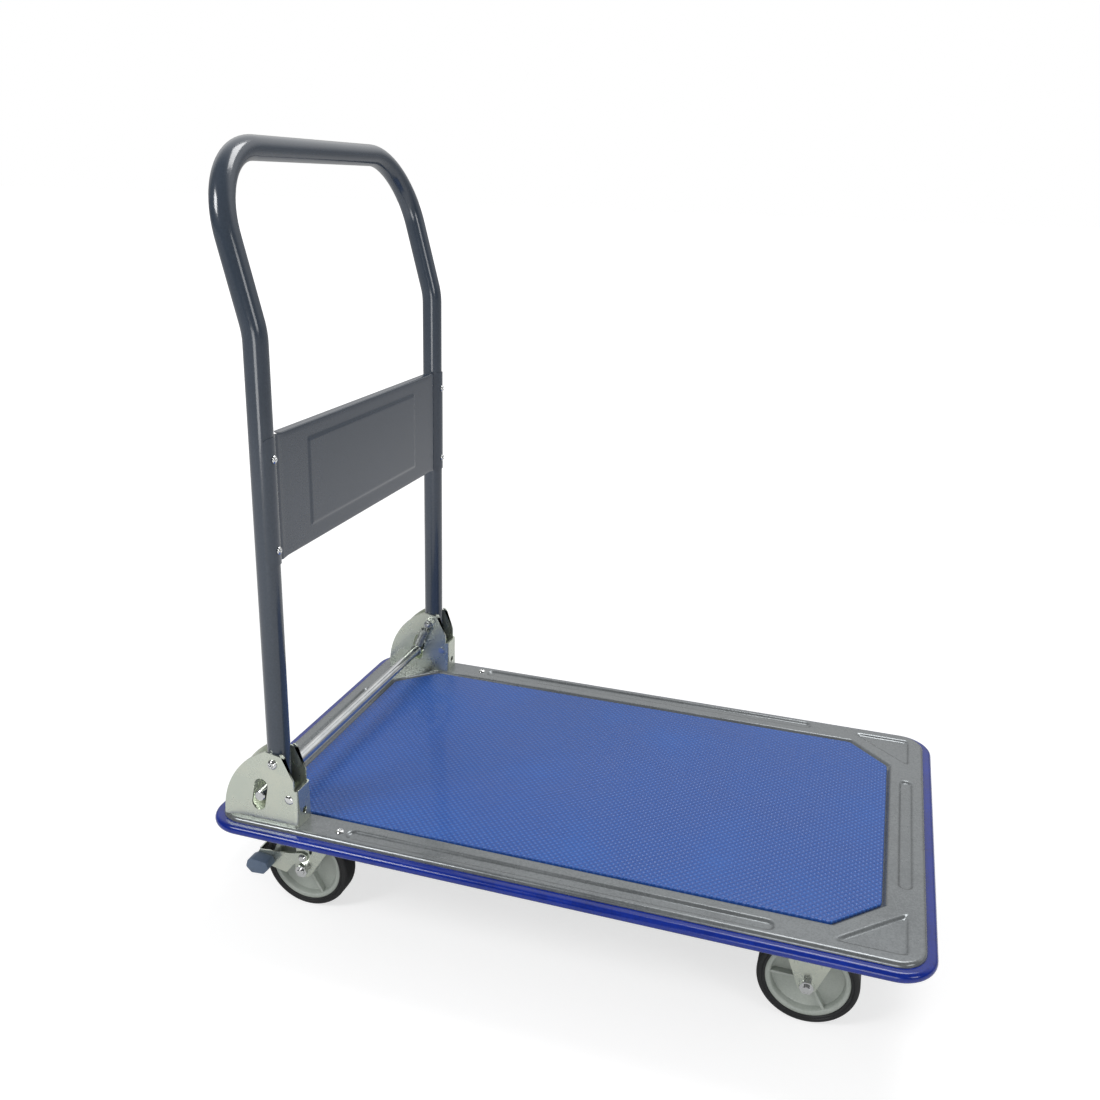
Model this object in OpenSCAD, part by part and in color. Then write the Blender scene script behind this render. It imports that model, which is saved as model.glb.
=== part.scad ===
// Folding platform cart: pressed steel deck with a mat and an edge bumper, a tubular
// handle that folds down over the deck, two fixed casters and two braked swivel casters.
// Millimetres. The origin is on the floor under the middle of the deck, +X is the free
// end of the deck, -X is the handle end, +Y is the left side and +Z is up.

/* [Deck] */
// Height of the deck's steel rim above the floor
deck_height = 137; // [132:1:160]
// Length of the steel deck
deck_length = 723; // [600:1:880]
// Width of the steel deck
deck_width = 445; // [360:1:540]
// Radius of the deck's corners in plan
deck_corner = 28; // [20:1:40]
// Thickness of the deck's sheet steel
deck_sheet = 1.5; // [1:0.1:2]
// Outer radius of the deck's rolled edge
deck_roll = 4.5; // [3:0.5:6]
// Depth of the deck's skirt below its rim
deck_skirt = 13; // [11:0.5:14]
// Width of the steel rim at the ends of the mat
rim_end = 41.5; // [36:0.5:60]
// Width of the steel rim along the sides of the mat
rim_side = 40; // [36:0.5:60]
// Depth of the recess that holds the mat
recess_depth = 4; // [3:0.5:5]
// Thickness of the mat
mat_thick = 3; // [2:0.5:4]
// Cut-off at the mat's corners
mat_chamfer = 45; // [30:1:60]
// Depth of the pressed beads and corner pockets in the rim
bead_depth = 2.5; // [1.5:0.1:3]
// Width of the pressed beads
bead_width = 14; // [8:1:18]

/* [Bumper] */
// How far the bumper stands out from the deck
bumper_out = 10; // [6:0.5:16]
// Height of the bumper's section
bumper_height = 10.5; // [8:0.5:12]
// Drop from the deck's rim to the bumper's top
bumper_drop = 4.5; // [4:0.5:6]

/* [Casters] */
// Diameter of the wheels
wheel_d = 100; // [90:1:101]
// Width of the tyres
tyre_width = 25; // [20:1:26]
// Thickness of the tyres' rubber tread
tyre_depth = 8.5; // [6:0.5:12]
// Distance from the deck's end to the middle of a caster plate
caster_end = 100.5; // [90:0.5:140]
// Distance from the deck's side to the middle of a caster
caster_side = 70.5; // [60:0.5:100]
// Distance from a swivel caster's kingpin to its axle
trail = 28; // [20:1:34]
// Thickness of the fork and plate steel
fork_sheet = 2; // [1.5:0.1:2.5]
// Diameter of the axle bolts
axle_d = 8; // [6:0.5:10]

/* [Handle] */
// Diameter of the handle's tube
tube_d = 23.5; // [20:0.5:25]
// Wall of the handle's tube
tube_wall = 1.5; // [1:0.1:2]
// Distance from the deck's rear end to the handle's tube
leg_end = 70.65; // [66:0.5:90]
// Distance from the deck's side to the handle's tube
leg_side = 20.5; // [19:0.5:21]
// Height of the lean-back bend above the deck
bend_height = 507; // [430:1:600]
// Straight length of the handle's legs between the lean-back bends and the corners
upper_straight = 75; // [40:1:140]
// Lean of the handle's upper part
lean = 14.7; // [8:0.1:20]
// Radius of the handle's corners and bends
corner_r = 80; // [50:1:90]
// Height of the lower edge of the panel above the deck
panel_low = 285; // [200:1:300]
// Height of the panel
panel_height = 126; // [80:1:130]

/* [Brackets] */
// Height of the brackets above the deck
bracket_height = 82.5; // [80:0.5:90]
// Thickness of the brackets' steel
bracket_sheet = 2; // [1.5:0.1:2.5]
// Height of the handle's pivot above the deck
pivot_height = 69.5; // [66:0.5:72]
// Diameter of the lock bar
bar_d = 12; // [10:0.5:13]
// Height of the lock bar above the deck
lock_height = 28.8; // [27:0.1:30]

/* [Hidden] */
$fn = 64;
deck_z = deck_height;
// Radial gap of a pin in a part that turns on it
run_gap = 0.06;
// Gap between flat parts that move past each other
side_gap = 0.4;
// Gap of a bolt in a hole that is clamped
bolt_gap = 0.1;
// Bore and shaft sizes of the bolts: radius of shank, head and nut
m6 = 3;
m6_head = 5.5;
m6_nut = 5.8;
m5 = 2.5;
m4 = 2;

// Mat and its recess
mat_length = deck_length - 2 * rim_end;
mat_width = deck_width - 2 * rim_side;
mat_gap = 1;
floor_z = deck_z - recess_depth - deck_sheet;
bead_floor = deck_z - bead_depth - deck_sheet;
bead_x = deck_length / 2 - 20;
bead_y = deck_width / 2 - 15.5;
// Where the beads' end arcs are centred, in from the deck's ends and sides
bead_inset = 163;
bead_shift = 13;
bead_side_inset = 130;
// Corner pockets: the two straight sides and how far they run along the deck's edges
pocket_x = deck_length / 2 - 17;
pocket_y = deck_width / 2 - 14.5;
pocket_run_x = 66;
pocket_run_y = 62;
pocket_cut = 4;
pocket_tip = 8;

// Places of the wheels and the casters
wheel_r = wheel_d / 2;
caster_x = deck_length / 2 - caster_end;
caster_y = deck_width / 2 - caster_side;
rear_axle_x = -caster_x - trail;
core_r = wheel_r - tyre_depth;
hub_r = 11;
fork_in = tyre_width / 2 + 2.5;
fork_out = fork_in + fork_sheet;
hub_half = fork_in - side_gap;
plate_thick = 3;
plate_top = 120;
plate_bottom = plate_top - plate_thick;
plate_x = 72;
plate_y = 64;
bolt_x = 27;
bolt_y = 23.5;
axle_nut = 6.5;
bush_r = 6;

// Swivel head
crown_top = 106;
crown_bottom = crown_top - 3;
crown_r = 25;
race_r = 19;
ball_r = 3;
ball_gap = 0.2;
ball_z = 111;
ball_count = 12;
king_r = 6;
king_head_r = 9;
king_head = 2.5;

// Brake
brake_up = 15;
brake_rivet = 2.5;
lever_in = fork_out + side_gap;
lever_out = lever_in + fork_sheet;
shoe_x = wheel_r + 3.6;

// Cross members and side rails
hat_sheet = 2;
hat_half = 38;
hat_flange = 12;
hat_half_y = mat_width / 2 + 2;
rail_half_x = deck_length / 2 - 121.5;
rail_y = bead_y;
rail_width = 18;
rail_low = deck_z - 15;
screw_x = -deck_length / 2 + 140.5;

// Handle and brackets
tube_r = tube_d / 2;
leg_x = -deck_length / 2 + leg_end;
leg_y = deck_width / 2 - leg_side;
bracket_gap = 0.3;
plate_in = tube_r + bracket_gap;
plate_out = plate_in + bracket_sheet;
bracket_front = 26.85;
bracket_round = 87;
web_height = 42;
foot_bolts = [-38, 4];
pivot_z = deck_z + pivot_height;
stop_d = 10;
stop_x = tube_r + stop_d / 2 + bracket_gap;
stop_z = 31;
bar_r = bar_d / 2;
lock_x = -17.55;
slot_r = 8;
slot_top = [-15.15, 42];
slot_low = [-19.15, 20];
bar_half = deck_width / 2 - 6;
// The tube's lower corner swings about the pivot and clears the lock bar by this gap
swing_gap = 0.5;
swing_r = norm([lock_x, lock_height - pivot_height]) - bar_r - swing_gap;
leg_bottom = pivot_z - sqrt(pow(swing_r, 2) - pow(tube_r, 2));
spring_y = leg_y - plate_out - 8.5;
spring_r = 6;
spring_wire = 1.5;
hook_r = m6 + 0.4;
hook_neck = 2.5;

// The height where the lean-back bend starts, and the legs' length below it
bend_z = deck_z + bend_height - corner_r * tan(lean / 2);
leg_run = bend_z - leg_bottom;
// Hairline between the tube's straight and bent stretches, so that each is a plain solid
seam = 0.02;
panel_sheet = 1.2;
panel_front = 7.25;
panel_crease = 16.7;
panel_flange = 9;
panel_z = deck_z + panel_low;
panel_screws_z = [14.5, panel_height - 21];

// ---- Shared shapes ----

// Places the children on the left side, or mirrored on the right side
module on_side(side) {
    if (side > 0) {
        children();
    } else {
        mirror([0, 1, 0]) children();
    }
}

// Places the children on both sides
module both_sides() {
    for (side = [1, -1]) {
        on_side(side) children();
    }
}

// A cylinder along Y, from y_low to y_high, on an axis at x and z
module rod_y(r, y_low, y_high, x, z) {
    translate([x, y_high, z]) rotate([90, 0, 0]) cylinder(r = r, h = y_high - y_low);
}

// A flat outline given in X and Z, standing from y_low to y_high
module plate_y(y_low, y_high) {
    translate([0, y_high, 0]) rotate([90, 0, 0]) linear_extrude(y_high - y_low) children();
}

// A 2-D section swept round a rounded rectangle; the section's X points outwards
module swept_rim(length, width, radius) {
    for (turn = [0:3]) {
        along = turn % 2 == 0 ? length / 2 : width / 2;
        across = turn % 2 == 0 ? width / 2 : length / 2;
        rotate(90 * turn) {
            translate([along, across - radius, 0]) rotate([90, 0, 0])
                linear_extrude(2 * (across - radius)) children();
            translate([along - radius, across - radius, 0])
                rotate_extrude(angle = 90) translate([radius, 0]) children();
        }
    }
}

// A rounded rectangle with true arcs
module rounded_rect(length, width, radius) {
    square([length - 2 * radius, width], center = true);
    square([length, width - 2 * radius], center = true);
    for (x = [-1, 1], y = [-1, 1]) {
        translate([x * (length / 2 - radius), y * (width / 2 - radius)]) circle(radius);
    }
}

// The mat's outline, grown by a margin on every side
module mat_outline(margin) {
    x = mat_length / 2 + margin;
    y = mat_width / 2 + margin;
    cut = mat_chamfer + margin * (2 - sqrt(2));
    polygon([
        [x, y - cut], [x - cut, y], [cut - x, y], [-x, y - cut],
        [-x, cut - y], [cut - x, -y], [x - cut, -y], [x, cut - y]
    ]);
}

// A straight slot with round ends between two points
module slot(from, to, radius) {
    reach = norm(to - from);
    translate(from) circle(radius);
    translate(to) circle(radius);
    translate(from) rotate(atan2(to[1] - from[1], to[0] - from[0]))
        translate([0, -radius]) square([reach, 2 * radius]);
}

// The pressed beads and corner pockets of the rim, grown by a margin
module rim_pressings(margin) {
    r = bead_width / 2 + margin;
    side_run = deck_length / 2 - bead_inset;
    end_run = deck_width / 2 - bead_side_inset;
    for (side = [-1, 1]) {
        slot([-side_run, side * bead_y], [side_run + bead_shift, side * bead_y], r);
        slot([side * bead_x, -end_run], [side * bead_x, end_run], r);
        mirror([0, side < 0 ? 1 : 0]) corner_pocket(margin);
    }
}

// A right triangle with cut corners in a front corner of the rim
module corner_pocket(margin) {
    x = pocket_x + margin;
    y = pocket_y + margin;
    grow = margin * (2 + sqrt(2));
    run_x = pocket_run_x + grow;
    run_y = pocket_run_y + grow;
    polygon([
        [x, y - pocket_cut], [x - pocket_cut, y], [x - run_x + pocket_tip, y],
        [x - run_x + pocket_tip, y - pocket_tip * run_y / run_x],
        [x - pocket_tip * run_x / run_y, y - run_y + pocket_tip], [x, y - run_y + pocket_tip]
    ]);
}

// A hexagon across its corners
module hexagon(r, h) {
    cylinder(r = r, h = h, $fn = 6);
}

// ---- Deck ----

// The deck's sheet edge: the roll and the skirt, with X outwards from the deck's side
module edge_section() {
    difference() {
        union() {
            translate([-deck_roll, -deck_roll]) circle(deck_roll);
            translate([-deck_sheet, -deck_skirt]) square([deck_sheet, deck_skirt - deck_roll]);
        }
        translate([-deck_roll, -deck_roll]) circle(deck_roll - deck_sheet);
        translate([-3 * deck_roll, -3 * deck_roll]) square([2 * deck_roll, 4 * deck_roll]);
        translate([-deck_roll, -2 * deck_roll]) square([deck_roll - deck_sheet, deck_roll]);
    }
}

module deck_pan() {
    color("slategray") difference() {
        union() {
            translate([0, 0, deck_z - deck_sheet]) linear_extrude(deck_sheet)
                rounded_rect(deck_length - 2 * deck_roll, deck_width - 2 * deck_roll, deck_corner - deck_roll);
            translate([0, 0, deck_z]) swept_rim(deck_length, deck_width, deck_corner) edge_section();
            translate([0, 0, floor_z]) linear_extrude(deck_z - floor_z) mat_outline(mat_gap + deck_sheet);
            translate([0, 0, bead_floor]) linear_extrude(deck_z - bead_floor) rim_pressings(deck_sheet);
        }
        translate([0, 0, deck_z - recess_depth]) linear_extrude(2 * recess_depth) mat_outline(mat_gap);
        translate([0, 0, deck_z - bead_depth]) linear_extrude(2 * bead_depth) rim_pressings(0);
        both_sides() translate([screw_x, bead_y, 0]) cylinder(r = m5 + bolt_gap, h = 2 * deck_z);
        both_sides() bracket_bolt_places() cylinder(r = m6 + bolt_gap, h = 2 * deck_z);
    }
}

module deck_mat() {
    color("royalblue") translate([0, 0, deck_z - recess_depth]) linear_extrude(mat_thick) mat_outline(0);
}

module bumper_section() {
    r = bumper_height / 2;
    low = -bumper_drop - bumper_height;
    translate([0, low]) square([bumper_out - r, bumper_height]);
    intersection() {
        translate([bumper_out - r, low + r]) circle(r);
        translate([0, low]) square([bumper_out, bumper_height]);
    }
    translate([-2 * deck_sheet, low]) square([2 * deck_sheet, -deck_skirt - low]);
    translate([-2 * deck_sheet, low]) square([deck_sheet, 5]);
}

module edge_bumper() {
    color("darkblue") translate([0, 0, deck_z]) swept_rim(deck_length, deck_width, deck_corner) bumper_section();
}

// A hat channel across the deck, crown down, that carries two casters
module cross_member(x) {
    color("slategray") difference() {
        translate([x, 0, 0]) plate_y(-hat_half_y, hat_half_y) {
            translate([-hat_half, plate_top]) square([2 * hat_half, hat_sheet]);
            for (side = [-1, 1]) {
                translate([side * (hat_half - hat_sheet / 2) - hat_sheet / 2, plate_top])
                    square([hat_sheet, floor_z - plate_top]);
                translate([side * (hat_half + hat_flange / 2) - hat_flange / 2 - 1, floor_z - hat_sheet])
                    square([hat_flange + 2, hat_sheet]);
            }
        }
        both_sides() caster_bolt_places(x) cylinder(r = m6 + bolt_gap, h = deck_z);
    }
}

module side_rails() {
    color("slategray") both_sides() difference() {
        translate([-rail_half_x, rail_y - rail_width / 2, rail_low])
            cube([2 * rail_half_x, rail_width, bead_floor - rail_low]);
        translate([-rail_half_x - 1, rail_y - rail_width / 2 + deck_sheet, rail_low - deck_sheet])
            cube([2 * rail_half_x + 2, rail_width - 2 * deck_sheet, bead_floor - rail_low]);
        translate([screw_x, rail_y, 0]) cylinder(r = m5 + bolt_gap, h = deck_z);
    }
}

module deck_screws() {
    color("silver") both_sides() translate([screw_x, bead_y, 0]) {
        translate([0, 0, bead_floor - 9]) cylinder(r = m5, h = deck_z - bead_floor + 9);
        translate([0, 0, deck_z]) cylinder(r1 = 4.6, r2 = 2.8, h = 2.2);
    }
}

module deck_nuts() {
    color("silver") both_sides() translate([screw_x, rail_y, bead_floor - deck_sheet - 4]) difference() {
        hexagon(4.6, 4);
        translate([0, 0, -1]) cylinder(r = m5, h = 6);
    }
}

// ---- Handle brackets ----

module bracket_bolt_places() {
    for (x = foot_bolts) {
        translate([leg_x + x, leg_y, 0]) children();
    }
}

// The side outline of a bracket plate, from the handle tube's axis and the deck
module bracket_outline() {
    difference() {
        intersection() {
            translate([bracket_front, 3]) circle(bracket_round);
            polygon([
                [bracket_front - bracket_round, 0], [bracket_front, 0],
                [bracket_front, web_height], [12.85, bracket_height],
                [bracket_front - bracket_round, bracket_height]
            ]);
        }
        slot(slot_top, slot_low, slot_r);
        translate([0, pivot_height]) circle(m6 + bolt_gap);
        translate([stop_x, stop_z]) circle(stop_d / 2 - 1);
    }
}

module bracket() {
    color("honeydew") difference() {
        union() {
            for (y = [-plate_out, plate_in]) {
                translate([leg_x, leg_y, deck_z]) plate_y(y, y + bracket_sheet) bracket_outline();
            }
            translate([leg_x + bracket_front - bracket_sheet, leg_y - plate_out, deck_z])
                cube([bracket_sheet, 2 * plate_out, web_height]);
            translate([leg_x - 52, leg_y - plate_out, deck_z])
                cube([52 + bracket_front, 2 * plate_out, bracket_sheet]);
        }
        bracket_bolt_places() cylinder(r = m6 + bolt_gap, h = 2 * deck_z);
        translate([leg_x + bracket_front, leg_y, deck_z + 14]) rotate([0, 90, 0])
            cylinder(r = 4, h = 8, center = true);
    }
}

module bracket_bolts() {
    color("silver") both_sides() bracket_bolt_places() {
        translate([0, 0, deck_z - 9]) cylinder(r = m6, h = 9 + bracket_sheet);
        translate([0, 0, deck_z + bracket_sheet]) cylinder(r1 = m6_head, r2 = 4, h = 3.5);
    }
}

module bracket_nuts() {
    color("silver") both_sides() bracket_bolt_places() translate([0, 0, deck_z - deck_sheet - 5]) difference() {
        hexagon(m6_nut, 5);
        translate([0, 0, -1]) cylinder(r = m6, h = 7);
    }
}

module pivot_bolt() {
    color("silver") {
        rod_y(m6, spring_y - 3, leg_y + plate_out, leg_x, pivot_z);
        translate([leg_x, leg_y + plate_out, pivot_z]) rotate([-90, 0, 0]) cylinder(r1 = m6_head, r2 = 3.6, h = 3.5);
    }
}

module pivot_nuts() {
    color("silver") both_sides() difference() {
        translate([leg_x, leg_y - plate_out, pivot_z]) rotate([90, 0, 0]) hexagon(m6_nut, 5);
        rod_y(m6, 0, leg_y, leg_x, pivot_z);
    }
}

module stop_pins() {
    color("silver") both_sides() {
        rod_y(stop_d / 2, leg_y - plate_in, leg_y + plate_in, leg_x + stop_x, deck_z + stop_z);
        rod_y(stop_d / 2 - 1, leg_y - plate_out - 1, leg_y + plate_out + 1.5, leg_x + stop_x, deck_z + stop_z);
    }
}

// An extension spring: a close-wound body as a hollow cylinder and a round hook at each end
module lock_spring() {
    run = [lock_x, lock_height - pivot_height];
    length = norm(run);
    bar_hook = bar_r + 0.4;
    top = hook_r + spring_wire + hook_neck;
    low = length - bar_hook - spring_wire - hook_neck;
    color("silver") translate([leg_x, spring_y, pivot_z]) rotate([0, atan2(run[0], run[1]), 0]) {
        translate([0, 0, top]) difference() {
            cylinder(r = spring_r, h = low - top);
            translate([0, 0, spring_wire]) cylinder(r = spring_r - spring_wire, h = low - top - 2 * spring_wire);
        }
        spring_hook(hook_r);
        translate([0, 0, length]) spring_hook(bar_hook);
        translate([0, 0, hook_r + spring_wire / 2]) cylinder(r = spring_wire / 2, h = hook_neck + spring_wire);
        translate([0, 0, low - spring_wire / 2]) cylinder(r = spring_wire / 2, h = hook_neck + spring_wire);
    }
}

module spring_hook(inner) {
    rotate([90, 0, 0]) rotate_extrude() translate([inner + spring_wire / 2, 0]) circle(spring_wire / 2);
}

module lock_bar() {
    color("gainsboro") difference() {
        rod_y(bar_r, -bar_half, bar_half, leg_x + lock_x, deck_z + lock_height);
        for (side = [-1, 1]) {
            translate([leg_x + lock_x, side * bar_half, deck_z + lock_height]) rotate([90, 0, 0]) difference() {
                cylinder(r = bar_r + 1, h = 2, center = true);
                translate([0, 0, side * 1]) cylinder(
                    r1 = side > 0 ? bar_r - 1 : bar_r + 1,
                    r2 = side > 0 ? bar_r + 1 : bar_r - 1,
                    h = 2, center = true
                );
            }
        }
    }
}

// ---- Handle ----

// The tube's section
module tube_ring() {
    difference() {
        circle(tube_r);
        circle(tube_r - tube_wall);
    }
}

// The plane of the handle's upper part, from the end of the lean-back bends
module upper_frame() {
    translate([leg_x - corner_r, 0, bend_z]) rotate([0, -lean, 0]) translate([corner_r, 0, 0]) children();
}

// The handle's bent tube: two legs, two lean-back bends, two corners and the top bar
module bent_tube() {
    both_sides() translate([leg_x, leg_y, bend_z]) {
        translate([0, 0, -leg_run]) linear_extrude(leg_run - seam) tube_ring();
        translate([-corner_r, 0, 0]) rotate([90, 0, 0])
            rotate_extrude(angle = lean) translate([corner_r, 0]) tube_ring();
    }
    upper_frame() {
        both_sides() {
            translate([0, leg_y, seam]) linear_extrude(upper_straight - 2 * seam) tube_ring();
            translate([0, leg_y - corner_r, upper_straight]) rotate([90, 0, 90])
                rotate_extrude(angle = 90) translate([corner_r, 0]) tube_ring();
        }
        translate([0, 0, upper_straight + corner_r]) rotate([90, 0, 0])
            linear_extrude(2 * (leg_y - corner_r - seam), center = true) tube_ring();
    }
}

module panel_screw_places() {
    both_sides() for (z = panel_screws_z) {
        translate([leg_x, leg_y, panel_z + z]) rotate([0, 90, 0]) children();
    }
}

module handle_tube() {
    color("dimgray") difference() {
        bent_tube();
        both_sides() rod_y(m6 + run_gap, leg_y - tube_r - 1, leg_y + tube_r + 1, leg_x, pivot_z);
        panel_screw_places() cylinder(r = m4 + bolt_gap, h = tube_r + 1);
    }
}

// The panel's section across the left half, from the tube's axis
module panel_half_section() {
    wrap = 62;
    x_flat = panel_front - panel_sheet;
    translate([x_flat, -leg_y]) square([panel_sheet, leg_y - panel_crease]);
    difference() {
        union() {
            circle(tube_r + panel_sheet);
            polygon([
                [x_flat, -panel_crease], [panel_front, -panel_crease],
                [cos(wrap) * 13, -sin(wrap) * 13], [0, 0]
            ]);
        }
        circle(tube_r);
        polygon([
            [0, 0], [40 * cos(wrap), 40 * sin(wrap)], [-40, 40], [-40, -40],
            [0, -40], [x_flat - 0.01, -panel_crease], [x_flat - 0.01, -tube_r]
        ]);
    }
}

module handle_panel() {
    color("slategray") difference() {
        both_sides() {
            translate([leg_x, leg_y, panel_z]) linear_extrude(panel_height) panel_half_section();
            for (z = [0, panel_height - panel_sheet]) {
                translate([leg_x + panel_front - panel_flange, 0, panel_z + z])
                    cube([panel_flange - panel_sheet, leg_y - panel_crease, panel_sheet]);
            }
        }
        panel_screw_places() cylinder(r = m4 + bolt_gap, h = 2 * tube_r);
    }
}

module panel_screws() {
    color("silver") panel_screw_places() {
        translate([0, 0, tube_r - 6]) cylinder(r = m4, h = 6 + panel_sheet);
        translate([0, 0, tube_r + panel_sheet]) cylinder(r1 = 4, r2 = 2.6, h = 2);
    }
}

// ---- Casters ----

module caster_bolt_places(x) {
    for (dx = [-bolt_x, bolt_x], dy = [-bolt_y, bolt_y]) {
        translate([x + dx, caster_y + dy, 0]) children();
    }
}

module caster_plate(x) {
    difference() {
        translate([x, caster_y, plate_bottom]) linear_extrude(plate_thick) rounded_rect(plate_x, plate_y, 6);
        caster_bolt_places(x) cylinder(r = m6 + bolt_gap, h = deck_z);
    }
}

// The side outline of a fixed fork's leg
module fixed_leg_outline() {
    difference() {
        union() {
            translate([0, wheel_r]) circle(10);
            polygon([
                [-9.4, wheel_r - 3.4], [9.4, wheel_r - 3.4],
                [plate_x / 2 - 1, plate_bottom], [1 - plate_x / 2, plate_bottom]
            ]);
        }
        translate([0, wheel_r]) circle(axle_d / 2 + bolt_gap);
    }
}

module front_fork() {
    color("lightgray") {
        caster_plate(caster_x);
        for (y = [-fork_out, fork_in]) {
            translate([caster_x, caster_y, 0]) plate_y(y, y + fork_sheet) fixed_leg_outline();
        }
    }
}

// An axle bolt with its head on the inner side
module axle_bolt(x) {
    color("silver") {
        rod_y(axle_d / 2, caster_y - fork_out, caster_y + fork_out + axle_nut + 2.5, x, wheel_r);
        translate([x, caster_y - fork_out, wheel_r]) rotate([90, 0, 0]) hexagon(7.5, 5);
    }
}

module axle_nut(x) {
    color("silver") difference() {
        translate([x, caster_y + fork_out, wheel_r]) rotate([-90, 0, 0]) hexagon(7.5, axle_nut);
        rod_y(axle_d / 2, caster_y, caster_y + 40, x, wheel_r);
    }
}

module caster_bolts() {
    color("silver") both_sides() for (x = [-caster_x, caster_x]) {
        caster_bolt_places(x) {
            translate([0, 0, plate_bottom - 4]) hexagon(m6_nut, 4);
            translate([0, 0, plate_bottom]) cylinder(r = m6, h = 11);
        }
    }
}

module caster_nuts() {
    color("silver") both_sides() for (x = [-caster_x, caster_x]) {
        caster_bolt_places(x) translate([0, 0, plate_top + hat_sheet]) difference() {
            hexagon(m6_nut, 5);
            translate([0, 0, -1]) cylinder(r = m6, h = 7);
        }
    }
}

module swivel_plate() {
    cup_low = ball_z + ball_r + ball_gap;
    color("lightgray") difference() {
        union() {
            caster_plate(-caster_x);
            translate([-caster_x, caster_y, cup_low]) cylinder(r = crown_r, h = plate_bottom - cup_low);
        }
        translate([-caster_x, caster_y, 0]) cylinder(r = king_r, h = deck_z);
    }
}

module kingpins() {
    color("silver") both_sides() translate([-caster_x, caster_y, 0]) {
        translate([0, 0, crown_bottom - 0.3 - king_head]) {
            cylinder(r = king_r, h = plate_top - crown_bottom + 0.3 + king_head);
            cylinder(r = king_head_r, h = king_head);
        }
    }
}

module swivel_balls() {
    color("silver") both_sides() for (i = [0:ball_count - 1]) {
        translate([-caster_x, caster_y, ball_z]) rotate(360 / ball_count * i)
            translate([race_r, 0, 0]) sphere(ball_r);
    }
}

// The side outline of a swivel fork's leg, from the kingpin's axis
module swivel_leg_outline() {
    difference() {
        union() {
            translate([-trail, wheel_r]) circle(10.5);
            polygon([
                [-trail - 10.5, wheel_r], [-trail - 8, wheel_r - 6], [-trail + 8.5, wheel_r - 6],
                [19, crown_top], [-trail - 6, crown_top]
            ]);
        }
        translate([-trail, wheel_r]) circle(axle_d / 2 + bolt_gap);
        translate([-trail, wheel_r + brake_up]) circle(brake_rivet + bolt_gap);
        slot([-19, 72], [-17, 84], 2);
    }
}

module swivel_fork() {
    lower_cup = ball_z - ball_r - ball_gap;
    color("lightgray") difference() {
        union() {
            for (y = [-fork_out, fork_in]) {
                translate([-caster_x, caster_y, 0]) plate_y(y, y + fork_sheet) swivel_leg_outline();
            }
            translate([-caster_x - trail + 2, caster_y - fork_out, crown_bottom])
                cube([trail + 17, 2 * fork_out, crown_top - crown_bottom]);
            translate([-caster_x, caster_y, crown_bottom]) cylinder(r = crown_r, h = lower_cup - crown_bottom);
        }
        translate([-caster_x, caster_y, crown_bottom - 1]) cylinder(r = king_r + run_gap, h = 20);
    }
}

module brake_rivets() {
    color("silver") translate([rear_axle_x, caster_y, wheel_r + brake_up]) for (side = [-1, 1]) {
        mirror([0, side < 0 ? 1 : 0, 0]) {
            rod_y(brake_rivet, fork_in, lever_out + 2, 0, 0);
            translate([0, lever_out + side_gap, 0]) rotate([-90, 0, 0]) cylinder(r1 = 4.5, r2 = 3, h = 2);
        }
    }
}

// The side outline of the brake lever, from the axle
module lever_outline() {
    difference() {
        union() {
            translate([0, brake_up]) circle(6.5);
            polygon([
                [0, brake_up + 6.5], [-14, 18], [-shoe_x - fork_sheet, 14],
                [-shoe_x - fork_sheet, 0], [-44, -3], [-21, -8], [-11, 5], [-3, 9.3]
            ]);
        }
        translate([0, brake_up]) circle(brake_rivet + run_gap);
    }
}

module brake_lever() {
    color("lightgray") translate([rear_axle_x, caster_y, wheel_r]) {
        for (y = [-lever_out, lever_in]) {
            plate_y(y, y + fork_sheet) lever_outline();
        }
        translate([-shoe_x - fork_sheet, -lever_out, 0]) cube([fork_sheet, 2 * lever_out, 14]);
    }
}

module brake_pad() {
    color("slategray") translate([rear_axle_x, caster_y, wheel_r]) plate_y(lever_out, lever_out + 16)
        polygon([[-61, 1], [-59, 8], [-54, 11], [-37, 9], [-35, 3], [-41, -4], [-55, -5]]);
}

// ---- Wheels ----

module wheel_place(x) {
    translate([x, caster_y, wheel_r]) rotate([90, 0, 0]) children();
}

module tyre(x) {
    half = tyre_width / 2;
    shoulder = min(4, tyre_depth / 2 - 0.2);
    color("black") wheel_place(x) rotate_extrude() {
        translate([core_r, -half + shoulder]) square([tyre_depth, tyre_width - 2 * shoulder]);
        translate([core_r, -half]) square([tyre_depth - shoulder, tyre_width]);
        for (side = [-1, 1]) {
            translate([wheel_r - shoulder, side * (half - shoulder)]) circle(shoulder);
        }
    }
}

module wheel_core(x) {
    rim = tyre_width / 2 - 1;
    web = 3;
    color("honeydew") wheel_place(x) {
        rotate_extrude() {
            translate([bush_r, -hub_half]) square([hub_r - bush_r, 2 * hub_half]);
            translate([hub_r - 1, -web]) square([core_r - hub_r, 2 * web]);
            translate([core_r - 5.5, -rim]) square([5.5, 2 * rim]);
        }
        for (turn = [60:120:300]) {
            rotate(turn) translate([hub_r - 1, -1.5, -rim + 2]) cube([core_r - hub_r - 3, 3, 2 * rim - 4]);
        }
    }
}

module wheel_bush(x) {
    color("silver") wheel_place(x) difference() {
        cylinder(r = bush_r, h = 2 * hub_half + 0.4, center = true);
        cylinder(r = axle_d / 2 + run_gap, h = 2 * fork_out, center = true);
    }
}

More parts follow.
